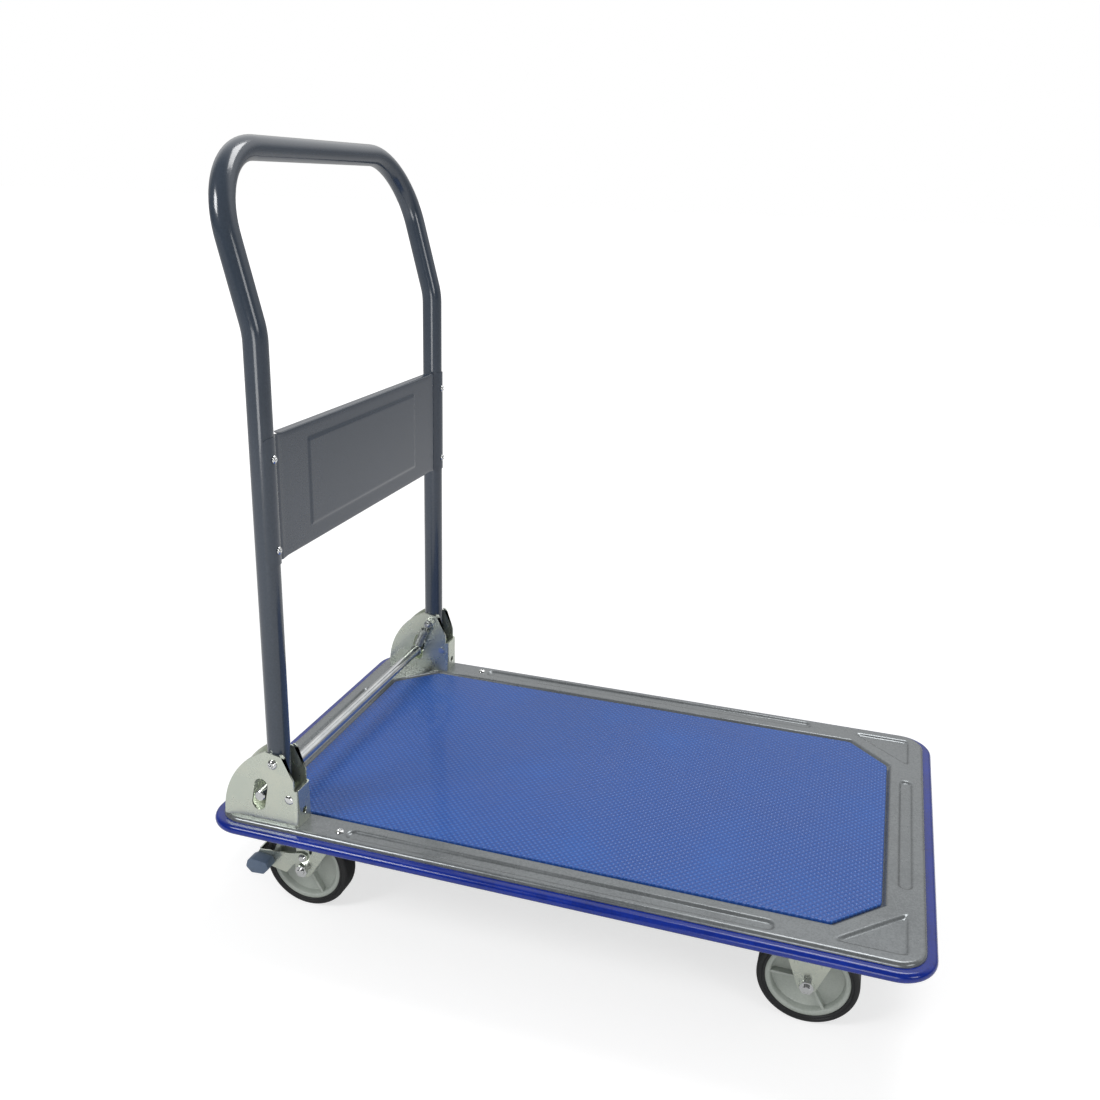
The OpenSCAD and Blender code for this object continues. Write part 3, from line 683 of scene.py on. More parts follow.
class Hardware:
    """Fasteners: one template for each kind, placed by one tree."""

    def __init__(self) -> None:
        """Builds the trees that place fasteners, wind springs and sweep tubes."""
        self.placing = self.placing_tree()
        self.winding = self.winding_tree()
        self.sweeping = self.sweeping_tree()

    def placing_tree(self) -> bpy.types.NodeTree:
        """Returns the tree that puts a template on each point, turned by the point's own turn."""
        tree, start = new_tree("placed_fasteners",
                               {"Template": "NodeSocketObject", "Material": "NodeSocketMaterial"})
        info = add_node(tree, "GeometryNodeObjectInfo", Object=start.outputs["Template"])
        turn = add_node(tree, "GeometryNodeInputNamedAttribute", {"data_type": "FLOAT_VECTOR"}, Name="turn")
        put = add_node(
            tree, "GeometryNodeInstanceOnPoints", Points=start.outputs["Geometry"],
            Instance=info.outputs["Geometry"], Rotation=turn.outputs["Attribute"],
        )
        return close_tree(tree, start, put.outputs[0])

    def winding_tree(self) -> bpy.types.NodeTree:
        """Returns the tree that winds a close coil of round wire."""
        sizes = {"Coil Radius": "NodeSocketFloat", "Wire Radius": "NodeSocketFloat",
                 "Turns": "NodeSocketFloat", "Height": "NodeSocketFloat", "Material": "NodeSocketMaterial"}
        tree, start = new_tree("wound_spring", sizes)
        coil = add_node(
            tree, "GeometryNodeCurveSpiral", Resolution=20, Rotations=start.outputs["Turns"],
            Start_Radius=start.outputs["Coil Radius"], End_Radius=start.outputs["Coil Radius"],
            Height=start.outputs["Height"],
        )
        wire = add_node(tree, "GeometryNodeCurvePrimitiveCircle", Resolution=8,
                        Radius=start.outputs["Wire Radius"])
        tube = add_node(
            tree, "GeometryNodeCurveToMesh", Curve=coil.outputs[0], Profile_Curve=wire.outputs[0],
            Fill_Caps=True
        )
        return close_tree(tree, start, tube.outputs[0])

    def sweeping_tree(self) -> bpy.types.NodeTree:
        """Returns the tree that sweeps a round tube along a curve."""
        tree, start = new_tree(
            "swept_tube",
            {"Tube Radius": "NodeSocketFloat", "Sides": "NodeSocketInt", "Material": "NodeSocketMaterial"}
        )
        ring = add_node(
            tree, "GeometryNodeCurvePrimitiveCircle", Resolution=start.outputs["Sides"],
            Radius=start.outputs["Tube Radius"],
        )
        tube = add_node(
            tree, "GeometryNodeCurveToMesh", Curve=start.outputs["Geometry"], Profile_Curve=ring.outputs[0],
            Fill_Caps=True,
        )
        return close_tree(tree, start, tube.outputs[0])

    def place(self, name: str, slot: str, template: Shell,
              places: Sequence[tuple[Spot, Facing]]) -> bpy.types.Object:
        """Puts a template at each place.

        Args:
            name: the piece's name.
            slot: the record's material slot.
            template: the fastener, head up from the origin.
            places: where each goes and which way it looks.

        Returns:
            The piece.
        """
        model = template.piece("template", slot)
        points = bpy.data.meshes.new("places")
        points.from_pydata([Vector(p) * MM for p, _ in places], [], [])
        turns = points.attributes.new("turn", "FLOAT_VECTOR", "POINT")
        for i, (_, facing) in enumerate(places):
            turns.data[i].vector = [math.radians(a) for a in facing.value]
        mesh = run_tree(
            bpy.data.objects.new("places", points), self.placing,
            {"Template": model, "Material": FINISHES[slot].material()},
        )
        bpy.data.objects.remove(model)
        item = bpy.data.objects.new(name, mesh)
        bpy.context.scene.collection.objects.link(item)
        return dress(item, slot)

    def coil(self, radius: float, wire: float, turns: float, height: float) -> bpy.types.Mesh:
        """Winds a coil along Z, in millimetres."""
        values = {"Coil Radius": radius, "Wire Radius": wire, "Turns": turns, "Height": height,
                  "Material": FINISHES["spring_steel"].material()}
        return run_tree(bpy.data.objects.new("coil", bpy.data.meshes.new("coil")), self.winding, values)

    def tube(self, path: Sequence[Spot], radius: float, slot: str, sides: int = 48) -> bpy.types.Mesh:
        """Sweeps a tube along a path, in millimetres."""
        curve = bpy.data.curves.new("path", "CURVE")
        curve.dimensions = "3D"
        spline = curve.splines.new("POLY")
        spline.points.add(len(path) - 1)
        for point, place in zip(spline.points, path):
            point.co = (*place, 1)
        values = {"Tube Radius": radius, "Sides": sides, "Material": FINISHES[slot].material()}
        return run_tree(bpy.data.objects.new("path", curve), self.sweeping, values)

    def screw(self, head: float, height: float, shank: float, length: float) -> Shell:
        """Makes a pan-head screw with a cross recess, head up from 0.

        Args:
            head: the head's radius.
            height: its height.
            shank: the shank's radius.
            length: the shank's length below the head.

        Returns:
            The screw.
        """
        sides, rings = 48, 14
        reach, arm, deep = head * 0.52, head * 0.11, height * 0.55
        rows = []
        for k in range(rings + 1):
            r = head * k / rings
            row = []
            for i in range(sides):
                a = 2 * math.pi * i / sides
                x, y = r * math.cos(a), r * math.sin(a)
                dome = height * (1 - 0.75 * (r / head) ** 4) if k < rings else height * 0.25
                cross = min(abs(x), abs(y))
                cut = (1 - smooth(cross, arm, arm * 1.9)) * (1 - smooth(r, reach * 0.8, reach))
                row.append((x, y, dome - deep * cut))
            rows.append(row)
        for r, z in ((head, 0.0), (shank, 0.0), (shank, -length + 0.5), (shank - 0.5, -length),
                     (0.0, -length)):
            rows.append([
                (r * math.cos(2 * math.pi * i / sides), r * math.sin(2 * math.pi * i / sides), z)
                for i in range(sides)
            ])
        return Shell().grid(rows, loop=True)

    def hexagon(
        self, radius: float, height: float, bolt: float, stand: float, shank: float = 0.0, length: float = 0.0
    ) -> Shell:
        """Makes a chamfered hexagon, 0 to height, with a bolt end out of it or a shank below it.

        Args:
            radius: its radius across the corners.
            height: its height.
            bolt: the bolt end's radius.
            stand: how far the bolt end stands out.
            shank: the radius of a shank below 0, if it has one.
            length: the shank's length.

        Returns:
            The nut or head.
        """
        sides = 48
        flat = radius * math.cos(math.pi / 6)

        def edge(angle: float) -> float:
            """Returns the hexagon's radius at an angle."""
            part = angle % (math.pi / 3) - math.pi / 6
            return flat / math.cos(part)

        rows = []
        angles = [2 * math.pi * i / sides for i in range(sides)]
        for z, limit in ((0.0, 0.95), (height * 0.08, 1.0), (height * 0.9, 1.0), (height, 0.93)):
            rows.append([
                (min(edge(a), radius * limit) * math.cos(a), min(edge(a), radius * limit) * math.sin(a), z)
                for a in angles
            ])
        for r, z in ((flat * 0.9, height), (bolt, height), (bolt, height + stand * 0.75),
                     (bolt * 0.8, height + stand), (0.0, height + stand)):
            rows.append([(r * math.cos(a), r * math.sin(a), z) for a in angles])
        for r, z in ((shank, 0.0), (shank, -length), (0.0, -length)):
            rows.insert(0, [(r * math.cos(a), r * math.sin(a), z) for a in angles])
        return Shell().grid(rows, loop=True)


# ---- Sub-assemblies ----


@dataclass
class Deck:
    """The pressed deck, its mat, its bumper and its rim screws."""

    top: float = 137.0
    length: float = 723.0
    width: float = 445.0
    corner: float = 28.0
    roll: float = 4.5
    skirt: float = 13.0
    sheet: float = 1.5
    mat: Flat = (640.0, 365.0)
    chamfer: float = 45.0
    recess: float = 4.0
    bead: float = 2.5
    bead_half: float = 7.0
    screw_at: Flat = (-221.0, 207.0)
    pocket_corner: Flat = (278.0, 208.0)
    pocket_slant: Flat = (67.0, 63.0)
    pocket_end: float = 344.5

    def octagon(self, x: float, y: float) -> float:
        """Returns the distance outside the mat's outline."""
        a, b = self.mat[0] / 2, self.mat[1] / 2
        return max(abs(x) - a, abs(y) - b, (abs(x) + abs(y) - (a + b - self.chamfer)) / math.sqrt(2))

    def pocket(self, x: float, y: float) -> float:
        """Returns the distance outside a front corner's pocket, with its corners rounded."""
        start, edge = self.pocket_corner
        along, across = self.pocket_slant
        run = math.hypot(along, across)
        sides = (x - self.pocket_end, abs(y) - edge,
                 ((start - x) * across + (edge - abs(y)) * along) / run)
        soft = 2.2
        top = max(sides)
        return top + soft * math.log(sum(math.exp((s - top) / soft) for s in sides))

    def beads(self, x: float, y: float) -> float:
        """Returns the distance outside the nearest long bead."""
        along = min(218.5, max(-205.5, x))
        side = math.hypot(x - along, abs(y) - 207)
        across = min(99.5, max(-99.5, y))
        end = math.hypot(abs(x) - 341.5, y - across)
        return min(side, end) - self.bead_half

    def height(self, x: float, y: float) -> float:
        """Returns the pressed sheet's height at a place."""
        drop = self.recess * (1 - smooth(self.octagon(x, y), 0.6, 5.6))
        pressed = self.bead * (1 - smooth(self.beads(x, y), -2.4, 1.0))
        if x > 0:
            pressed = max(pressed, self.bead * (1 - smooth(self.pocket(x, y), -2.4, 1.0)))
        return self.top - max(drop, pressed)

    def pan(self) -> bpy.types.Object:
        """Presses the deck's sheet and folds its edge.

        Returns:
            The deck pan.
        """
        half_x, half_y = self.length / 2 - self.roll, self.width / 2 - self.roll
        fine, mid, wide = 1.35, 6.0, 30.0
        positive = [(0, 190, wide), (190, 206, mid), (206, 230, fine), (230, 268, mid), (268, half_x, fine)]
        negative = [(-half_x, -268, fine), (-268, -216, mid), (-216, -196, fine), (-196, 0, wide)]
        xs = spread(negative + positive)
        ys = spread([(-half_y, -132, fine), (-132, -110, mid), (-110, -90, fine), (-90, 90, wide),
                     (90, 110, fine), (110, 132, mid), (132, half_y, fine)])
        radius = self.corner - self.roll
        shell = Shell()
        inside = {}
        for i, x in enumerate(xs):
            for j, y in enumerate(ys):
                dx, dy = abs(x) - (half_x - radius), abs(y) - (half_y - radius)
                out = dx > 0 and dy > 0 and math.hypot(dx, dy) > radius
                px, py = x, y
                if out:
                    pull = radius / math.hypot(dx, dy)
                    px = math.copysign(half_x - radius + dx * pull, x)
                    py = math.copysign(half_y - radius + dy * pull, y)
                inside[i, j] = not out
                shell.points.append((px, py, self.height(px, py)))
        rows = len(ys)
        for i in range(len(xs) - 1):
            for j in range(rows - 1):
                corners = ((i, j), (i + 1, j), (i + 1, j + 1), (i, j + 1))
                if sum(inside[c] for c in corners) > 0:
                    shell.faces.append(tuple(a * rows + b for a, b in corners))
        sheet = shell.piece("deck_pan_sheet", "deck_paint", 40, solid=self.sheet)
        settle(sheet, "deck", "deck_pan")
        r, t = self.roll, self.sheet
        section = arc((-r, -r), r, 90, 0, 7) + [(0.0, -self.skirt + 0.3), (-0.3, -self.skirt)]
        section += [(-t, -self.skirt)] + arc((-r, -r), r - t, 0, 90, 7) + [(-r - 1.0, -t), (-r - 1.0, -0.02)]
        path = rim_path(self.length, self.width, self.corner)
        edge = swept(section, path, self.top).piece("deck_pan_rolled_edge", "deck_paint", 40)
        settle(edge, "deck", "deck_pan")
        return sheet

    def mat_sheet(self) -> None:
        """Cuts the mat with an eased upper edge."""
        a, b, c = self.mat[0] / 2, self.mat[1] / 2, self.chamfer
        low = self.top - self.recess
        rows = []
        for inset, z in ((0.0, low), (0.0, low + 1.9), (0.25, low + 2.5), (0.8, low + 2.9), (1.6, low + 3.0)):
            x, y = a - inset, b - inset
            k = c - inset * (2 - math.sqrt(2))
            corners = [(x, y - k), (x - k, y), (k - x, y), (-x, y - k), (-x, k - y), (k - x, -y),
                       (x - k, -y), (x, k - y)]
            rows.append([(px, py, z) for px, py in rounded(corners, 9.0)])
        shell = Shell().grid(rows, loop=True).cap(rows[0]).cap(rows[-1])
        settle(shell.piece("deck_mat_sheet", "mat_vinyl", 50), "deck", "deck_mat")

    def bumper(self) -> None:
        """Sweeps the bumper round the deck, butt-jointed behind."""
        r, stand = 5.25, 4.75
        section = [(0.0, -4.5)] + arc((stand, -4.5 - r), r, 90, -90, 14)
        section += [(-3.0, -15.0), (-3.0, -13.1), (0.1, -13.1)]
        path = rim_path(self.length, self.width, self.corner)
        strip = swept(section, path, self.top, split=0.5)
        settle(strip.piece("edge_bumper_strip", "bumper_vinyl", 50), "deck", "edge_bumper")

    def build(self, hardware: Hardware) -> None:
        """Builds the deck's visible pieces."""
        self.pan()
        self.mat_sheet()
        self.bumper()
        x, y = self.screw_at
        places = [((x, side * y, self.top), Facing.UP) for _, side in SIDES]
        screws = hardware.place("rim_screws", "bright_zinc", hardware.screw(4.6, 2.2, 2.5, 13), places)
        settle(screws, "deck", "deck_screws")


@dataclass
class Brackets:
    """The two folded brackets at the handle's foot, with their bolts and lock springs."""

    leg: Flat = (-290.85, 202.0)
    deck: float = 137.0
    inner: float = 12.05
    sheet: float = 2.0
    front: float = 26.85
    round: float = 87.0
    web: float = 42.0
    height: float = 82.5
    fold: float = 4.0
    pivot: float = 69.5
    brow: float = 12.85
    bolts: Flat = (-38.0, 4.0)
    foot_end: float = -52.0
    stop_pin: Flat = (17.05, 31.0)
    spring_y: float = 179.45
    lock: Flat = (-17.55, 28.8)

    def outline(self) -> Loop:
        """Returns a side plate's outline, from the leg's axis and the deck."""
        reach = math.degrees(math.asin((self.height - 3) / self.round))
        low = math.degrees(math.asin(-3 / self.round))
        rim = arc((self.front, 3), self.round, 180 - reach, 180 - low, 24)
        slope = (self.height - self.web) / (self.front - self.brow)
        stop = self.front - self.fold
        knee = (stop, self.web + self.fold * slope)
        corner = rounded([(0.0, self.height), (self.brow, self.height), knee], 6.0)
        return corner[6:12] + rim + [(stop, 0.0), knee]

    def folded(self) -> Shell:
        """Returns the left bracket, from the leg's axis and the deck."""
        slot = arc((-15.15, 42), 8, -10.3, 169.7, 10) + arc((-19.15, 20), 8, 169.7, 349.7, 10)
        holes = [slot, arc(self.stop_pin, 4, 0, 330, 11)]
        side = plate(self.outline(), holes, self.sheet)
        outer = self.inner + self.sheet
        shell = Shell()
        shell.add(side, standing(self.inner))
        shell.add(side, standing(-outer))
        flat = outer - self.fold
        face = rounded([(-flat, 0), (flat, 0), (flat, self.web), (-flat, self.web)], 0.3, 1)
        web = plate(face, [arc((0, 14), 4, 0, 345, 23)], self.sheet)
        shell.add(web, lambda p: (self.front - self.sheet + p[2], p[0], p[1]))
        for sign in (1, -1):
            fold = bend(self.fold, self.sheet, 0 if sign > 0 else 270, self.web)
            shell.add(fold, moved(self.front - self.fold, sign * flat, 0))
        back, stop, half = self.foot_end, self.front - 1, outer - 1
        foot = plate([(back, -half), (stop, -half), (stop, half), (back, half)], [], self.sheet)
        return shell.add(foot)

    def spring(self, hardware: Hardware, name: str, side: float) -> None:
        """Winds one lock spring between its pivot bolt and the lock bar."""
        y = side * self.spring_y
        top = Vector((self.leg[0], y, self.deck + self.pivot))
        low = Vector((self.leg[0] + self.lock[0], y, self.deck + self.lock[1]))
        run = low - top
        start, end = 7.4, run.length - 10.4
        turn = run.to_track_quat("Z", "Y").to_matrix()

        def put(p: Spot) -> Spot:
            """Moves a point from the spring's own axis to its place."""
            return tuple(top + turn @ Vector(p))

        shell = Shell()
        coil = hardware.coil(5.25, 0.75, (end - start - 1.5) / 1.62, end - start - 1.5)
        shell.take(coil, lambda p: put((p[0], p[1], p[2] + start + 0.75)))
        for centre, radius, lead in ((0.0, 4.15, start), (run.length, 7.15, end)):
            way = 1 if lead > centre else -1
            loop = [(0.0, radius * math.sin(a), centre + way * radius * math.cos(a))
                    for a in (math.radians(20 + 320 * i / 28) for i in range(29))]
            neck = [(0.0, loop[0][1] * 0.6, centre + way * (radius + 1.0)), (2.6, 0.0, lead),
                    (5.0, 0.0, lead + way * 0.8)]
            shell.take(hardware.tube(neck[::-1] + loop, 0.75, "spring_steel", 8), put)
        item = shell.piece(f"{name}_lock_spring_coil", "spring_steel", 60)
        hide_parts(f"{name}_lock_spring")
        places = [(top + run * (d / run.length)) * MM for d in (start, end)]
        tuple(places[0])
        tuple(places[1])
        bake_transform(item)
        LOG.info("%s stretches between deck and lock_bar", item.name)

    def build(self, hardware: Hardware) -> None:
        """Builds both brackets and what holds them."""
        x, y = self.leg
        outer = self.inner + self.sheet
        folded = self.folded()
        for name, side in SIDES:
            shell = Shell().add(folded, lambda p, s=side: (x + p[0], s * (y + p[1]), self.deck + p[2]))
            settle(shell.piece(f"{name}_bracket_folded", "zinc_plate", 22), "deck", f"{name}_bracket")
            self.spring(hardware, name, side)
        feet = [((x + dx, s * y, self.deck + self.sheet), Facing.UP) for _, s in SIDES for dx in self.bolts]
        bolts = hardware.place("bracket_foot_bolts", "bright_zinc", hardware.screw(5.5, 3.5, 3, 11), feet)
        settle(bolts, "deck", "bracket_bolts")
        ways = {"left": Facing.LEFT, "right": Facing.RIGHT}
        for name, side in SIDES:
            spot = (x, side * (y + outer), self.deck + self.pivot)
            pin = hardware.place(f"{name}_pivot_screw", "bright_zinc", hardware.screw(5.5, 3.5, 3, 39.6),
                                 [(spot, ways[name])])
            settle(pin, "deck", f"{name}_pivot_bolt")
        rivet = self.rivet(5.0, 1.6, 2 * self.inner + 4)
        along, up = self.stop_pin
        spots = [((x + along, s * (y + outer), self.deck + up), ways[n]) for n, s in SIDES]
        pins = hardware.place("stop_rivets", "bright_zinc", rivet, spots)
        settle(pins, "deck", "stop_pins")

    def rivet(self, radius: float, height: float, length: float) -> Shell:
        """Makes a rivet: a low domed head up from 0, a barrel and a flattened tail.

        Args:
            radius: the head's radius.
            height: its height.
            length: the barrel's length.

        Returns:
            The rivet.
        """
        profile = [(0.0, height), (radius * 0.5, height * 0.94), (radius * 0.8, height * 0.66), (radius, 0.2),
                   (radius, 0.0), (4.0, 0.0), (4.0, -2.0), (5.0, -2.0), (5.0, 2 - length), (4.0, 2 - length),
                   (4.0, -length - 1.0), (0.0, -length - 1.0)]
        rows = [[(r * math.cos(2 * math.pi * i / 32), r * math.sin(2 * math.pi * i / 32), z)
                 for i in range(32)]
                for r, z in profile]
        return Shell().grid(rows, loop=True)


@dataclass
class Handle:
    """The bent tube with its folded panel."""

    leg: Flat = (-290.85, 202.0)
    tube: float = 11.75
    foot: float = 170.6
    bend_z: float = 633.68
    corner: float = 80.0
    straight: float = 75.0
    lean: float = 14.7
    panel: Flat = (422.0, 548.0)
    front: float = 7.25
    crease: float = 185.3
    flange: float = 9.0
    sheet: float = 1.2

    def path(self) -> list[Spot]:
        """Returns the tube's centre line, from the right foot to the left foot."""
        x, y = self.leg
        lean = math.radians(self.lean)
        base = (x - self.corner, self.bend_z)

        def upper(u: float, v: float) -> Flat:
            """Returns the X and Z of a place u forward and v along the leaning part."""
            px = self.corner + u
            return (base[0] + px * math.cos(lean) - v * math.sin(lean),
                    base[1] + px * math.sin(lean) + v * math.cos(lean))

        half: list[Spot] = [(x, y, self.foot), (x, y, self.bend_z)]
        half += [(px, y, pz) for px, pz in arc(base, self.corner, 0, self.lean, 8)[1:]]
        px, pz = upper(0, self.straight)
        half.append((px, y, pz))
        for i in range(1, 25):
            a = math.radians(90 * i / 24)
            px, pz = upper(0, self.straight + self.corner * math.sin(a))
            half.append((px, y - self.corner * (1 - math.cos(a)), pz))
        return [(px, -py, pz) for px, py, pz in half] + half[::-1]

    def section(self) -> list[tuple[float, float, float, float]]:
        """Returns the panel's front line: X and Y from the leg's axis plane, and its outward way."""
        x, y = self.leg
        half = [(x + self.front, d)
                for d in spread([(0, 122, 12), (122, 136, 1.2), (136, self.crease - 1, 8)])]
        r = self.tube + self.sheet
        half += [(x + self.front + 0.15, self.crease + 0.6)]
        half += [(x + px, y + py) for px, py in arc((0, 0), r, -62, 62, 22)]
        line = [(px, -py) for px, py in half[:0:-1]] + half
        out = []
        for i, (px, py) in enumerate(line):
            a, b = line[max(0, i - 1)], line[min(len(line) - 1, i + 1)]
            way = Vector((b[1] - a[1], a[0] - b[0])).normalized()
            out.append((px, py, way.x, way.y))
        return out

    def folded_panel(self) -> bpy.types.Object:
        """Folds the panel, presses its raised rectangle and rounds its tabs."""
        low, high = self.panel
        fold = 2.0
        line = self.section()
        tab = 9.0
        total = [0.0]
        for a, b in zip(line, line[1:]):
            total.append(total[-1] + math.hypot(b[0] - a[0], b[1] - a[1]))
        flat = [abs(py) < self.crease - 1.5 for _, py, _, _ in line]
        rows = []
        zs = spread([(low + fold, low + 15, 4), (low + 15, low + 25, 1.2), (low + 25, high - 24, 14),
                     (high - 24, high - 12, 1.2), (high - 12, high - fold, 4)])
        turns = [math.radians(90 * k / 4) for k in range(1, 5)]

        def row(kind: str, value: float, top: bool) -> list[Spot]:
            """Returns one row of the panel's front: on the face, in a fold or on a flange."""
            made = []
            edge = high if top else low
            inward = -1 if top else 1
            for i, (px, py, wx, wy) in enumerate(line):
                s = min(total[i], total[-1] - total[i])
                cut = tab - math.sqrt(max(0.0, tab**2 - max(0.0, tab - s) ** 2))
                if kind == "face":
                    z = min(high - cut, max(low + cut, value))
                    lift = 1.1 * smooth(128 - abs(py), -2.2,
                                        2.2) * smooth(min(z - low - 19.5, high - 17 - z), -2.2, 2.2)
                    made.append((px + wx * lift, py + wy * lift, z))
                elif not flat[i]:
                    made.append((px, py, edge + inward * cut))
                elif kind == "fold":
                    made.append((px - fold * (1 - math.cos(value)), py,
                                 edge + inward * fold * (1 - math.sin(value))))
                else:
                    made.append((px - value, py, edge))
            return made

        rows += [row("flange", self.flange, False)] + [row("fold", a, False) for a in turns[::-1]]
        rows += [row("face", z, False) for z in zs]
        rows += [row("fold", a, True) for a in turns] + [row("flange", self.flange, True)]
        shell = Shell().grid(rows)
        return shell.piece("handle_panel_folded", "handle_paint", 40, solid=self.sheet)

    def build(self, hardware: Hardware) -> None:
        """Builds the handle's pieces."""
        tube = Shell().take(hardware.tube(self.path(), self.tube, "handle_paint"))
        settle(tube.piece("handle_tube_bent", "handle_paint", 50), "handle", "handle_tube")
        settle(self.folded_panel(), "handle", "handle_panel")
        x, y = self.leg
        places = [((x + self.tube + self.sheet, s * y, self.panel[0] + z), Facing.FRONT)
                  for _, s in SIDES for z in (14.5, 105.0)]
        screws = hardware.place("panel_cross_screws", "bright_zinc", hardware.screw(4, 2, 2, 7.2), places)
        settle(screws, "handle", "panel_screws")


@dataclass
class Wheel:
    """One wheel: rubber tyre and moulded centre."""

    name: str
    centre: Spot
    radius: float = 50.0
    width: float = 25.0
    core: float = 41.5
    hub: float = 11.0

    def tyre(self) -> Shell:
        """Returns the tyre, with a parting line round its tread and a bead line on each side."""
        h, r, s = self.width / 2, self.radius, 4.0
        side = [(self.core, -h + 0.6), (self.core + 0.6, -h), (self.core + 2.2, -h),
                (self.core + 2.6, -h + 0.45), (self.core + 3.1, -h + 0.45), (self.core + 3.5, -h)]
        shoulder = arc((r - s, -h + s), s, -90, 0, 8)
        low = side + shoulder + [(r, -0.5), (r, -0.25)]
        line = [(r - 0.25, 0.0)]
        return turned_y(low + line + [(x, -y) for x, y in low[::-1]])

    def centre_shell(self) -> Shell:
        """Returns the moulded centre: hub, web, rim ring and three ribs."""
        rim, web, hub = self.width / 2 - 1, 3.0, 14.6
        half = [(6.0, -hub), (self.hub - 0.8, -hub), (self.hub, -hub + 0.8), (self.hub + 1.2, -web - 1.2),
                (self.hub + 2.6, -web), (33.0, -web), (35.2, -web - 1.2), (36.0, -rim + 1.6),
                (36.8, -rim + 0.4),
                (37.6, -rim), (40.6, -rim), (41.45, -rim + 0.6)]
        shell = turned_y(half + [(r, -y) for r, y in half[::-1]])
        for turn in (60, 180, 300):
            a = math.radians(turn)
            rib = plate(rounded([(self.hub - 1, -9.5), (36.4, -9.5), (36.4, 9.5), (self.hub - 1, 9.5)], 0.6,
                                1), [], 3.0, 0.5)
            shell.add(rib, lambda p, t=a: (
                p[0] * math.cos(t) - (p[2] - 1.5) * math.sin(t), p[1],
                p[0] * math.sin(t) + (p[2] - 1.5) * math.cos(t)))
        return shell

    def build(self) -> None:
        """Builds the wheel's pieces."""
        body = f"{self.name}_wheel"
        place = moved(*self.centre)
        tyre = Shell().add(self.tyre(), place).piece(f"{self.name}_tyre_rubber", "tyre_rubber", 40)
        settle(tyre, body, f"{self.name}_tyre")
        core = Shell().add(self.centre_shell(), place).piece(f"{self.name}_wheel_centre", "wheel_plastic", 40)
        settle(core, body, f"{self.name}_core")


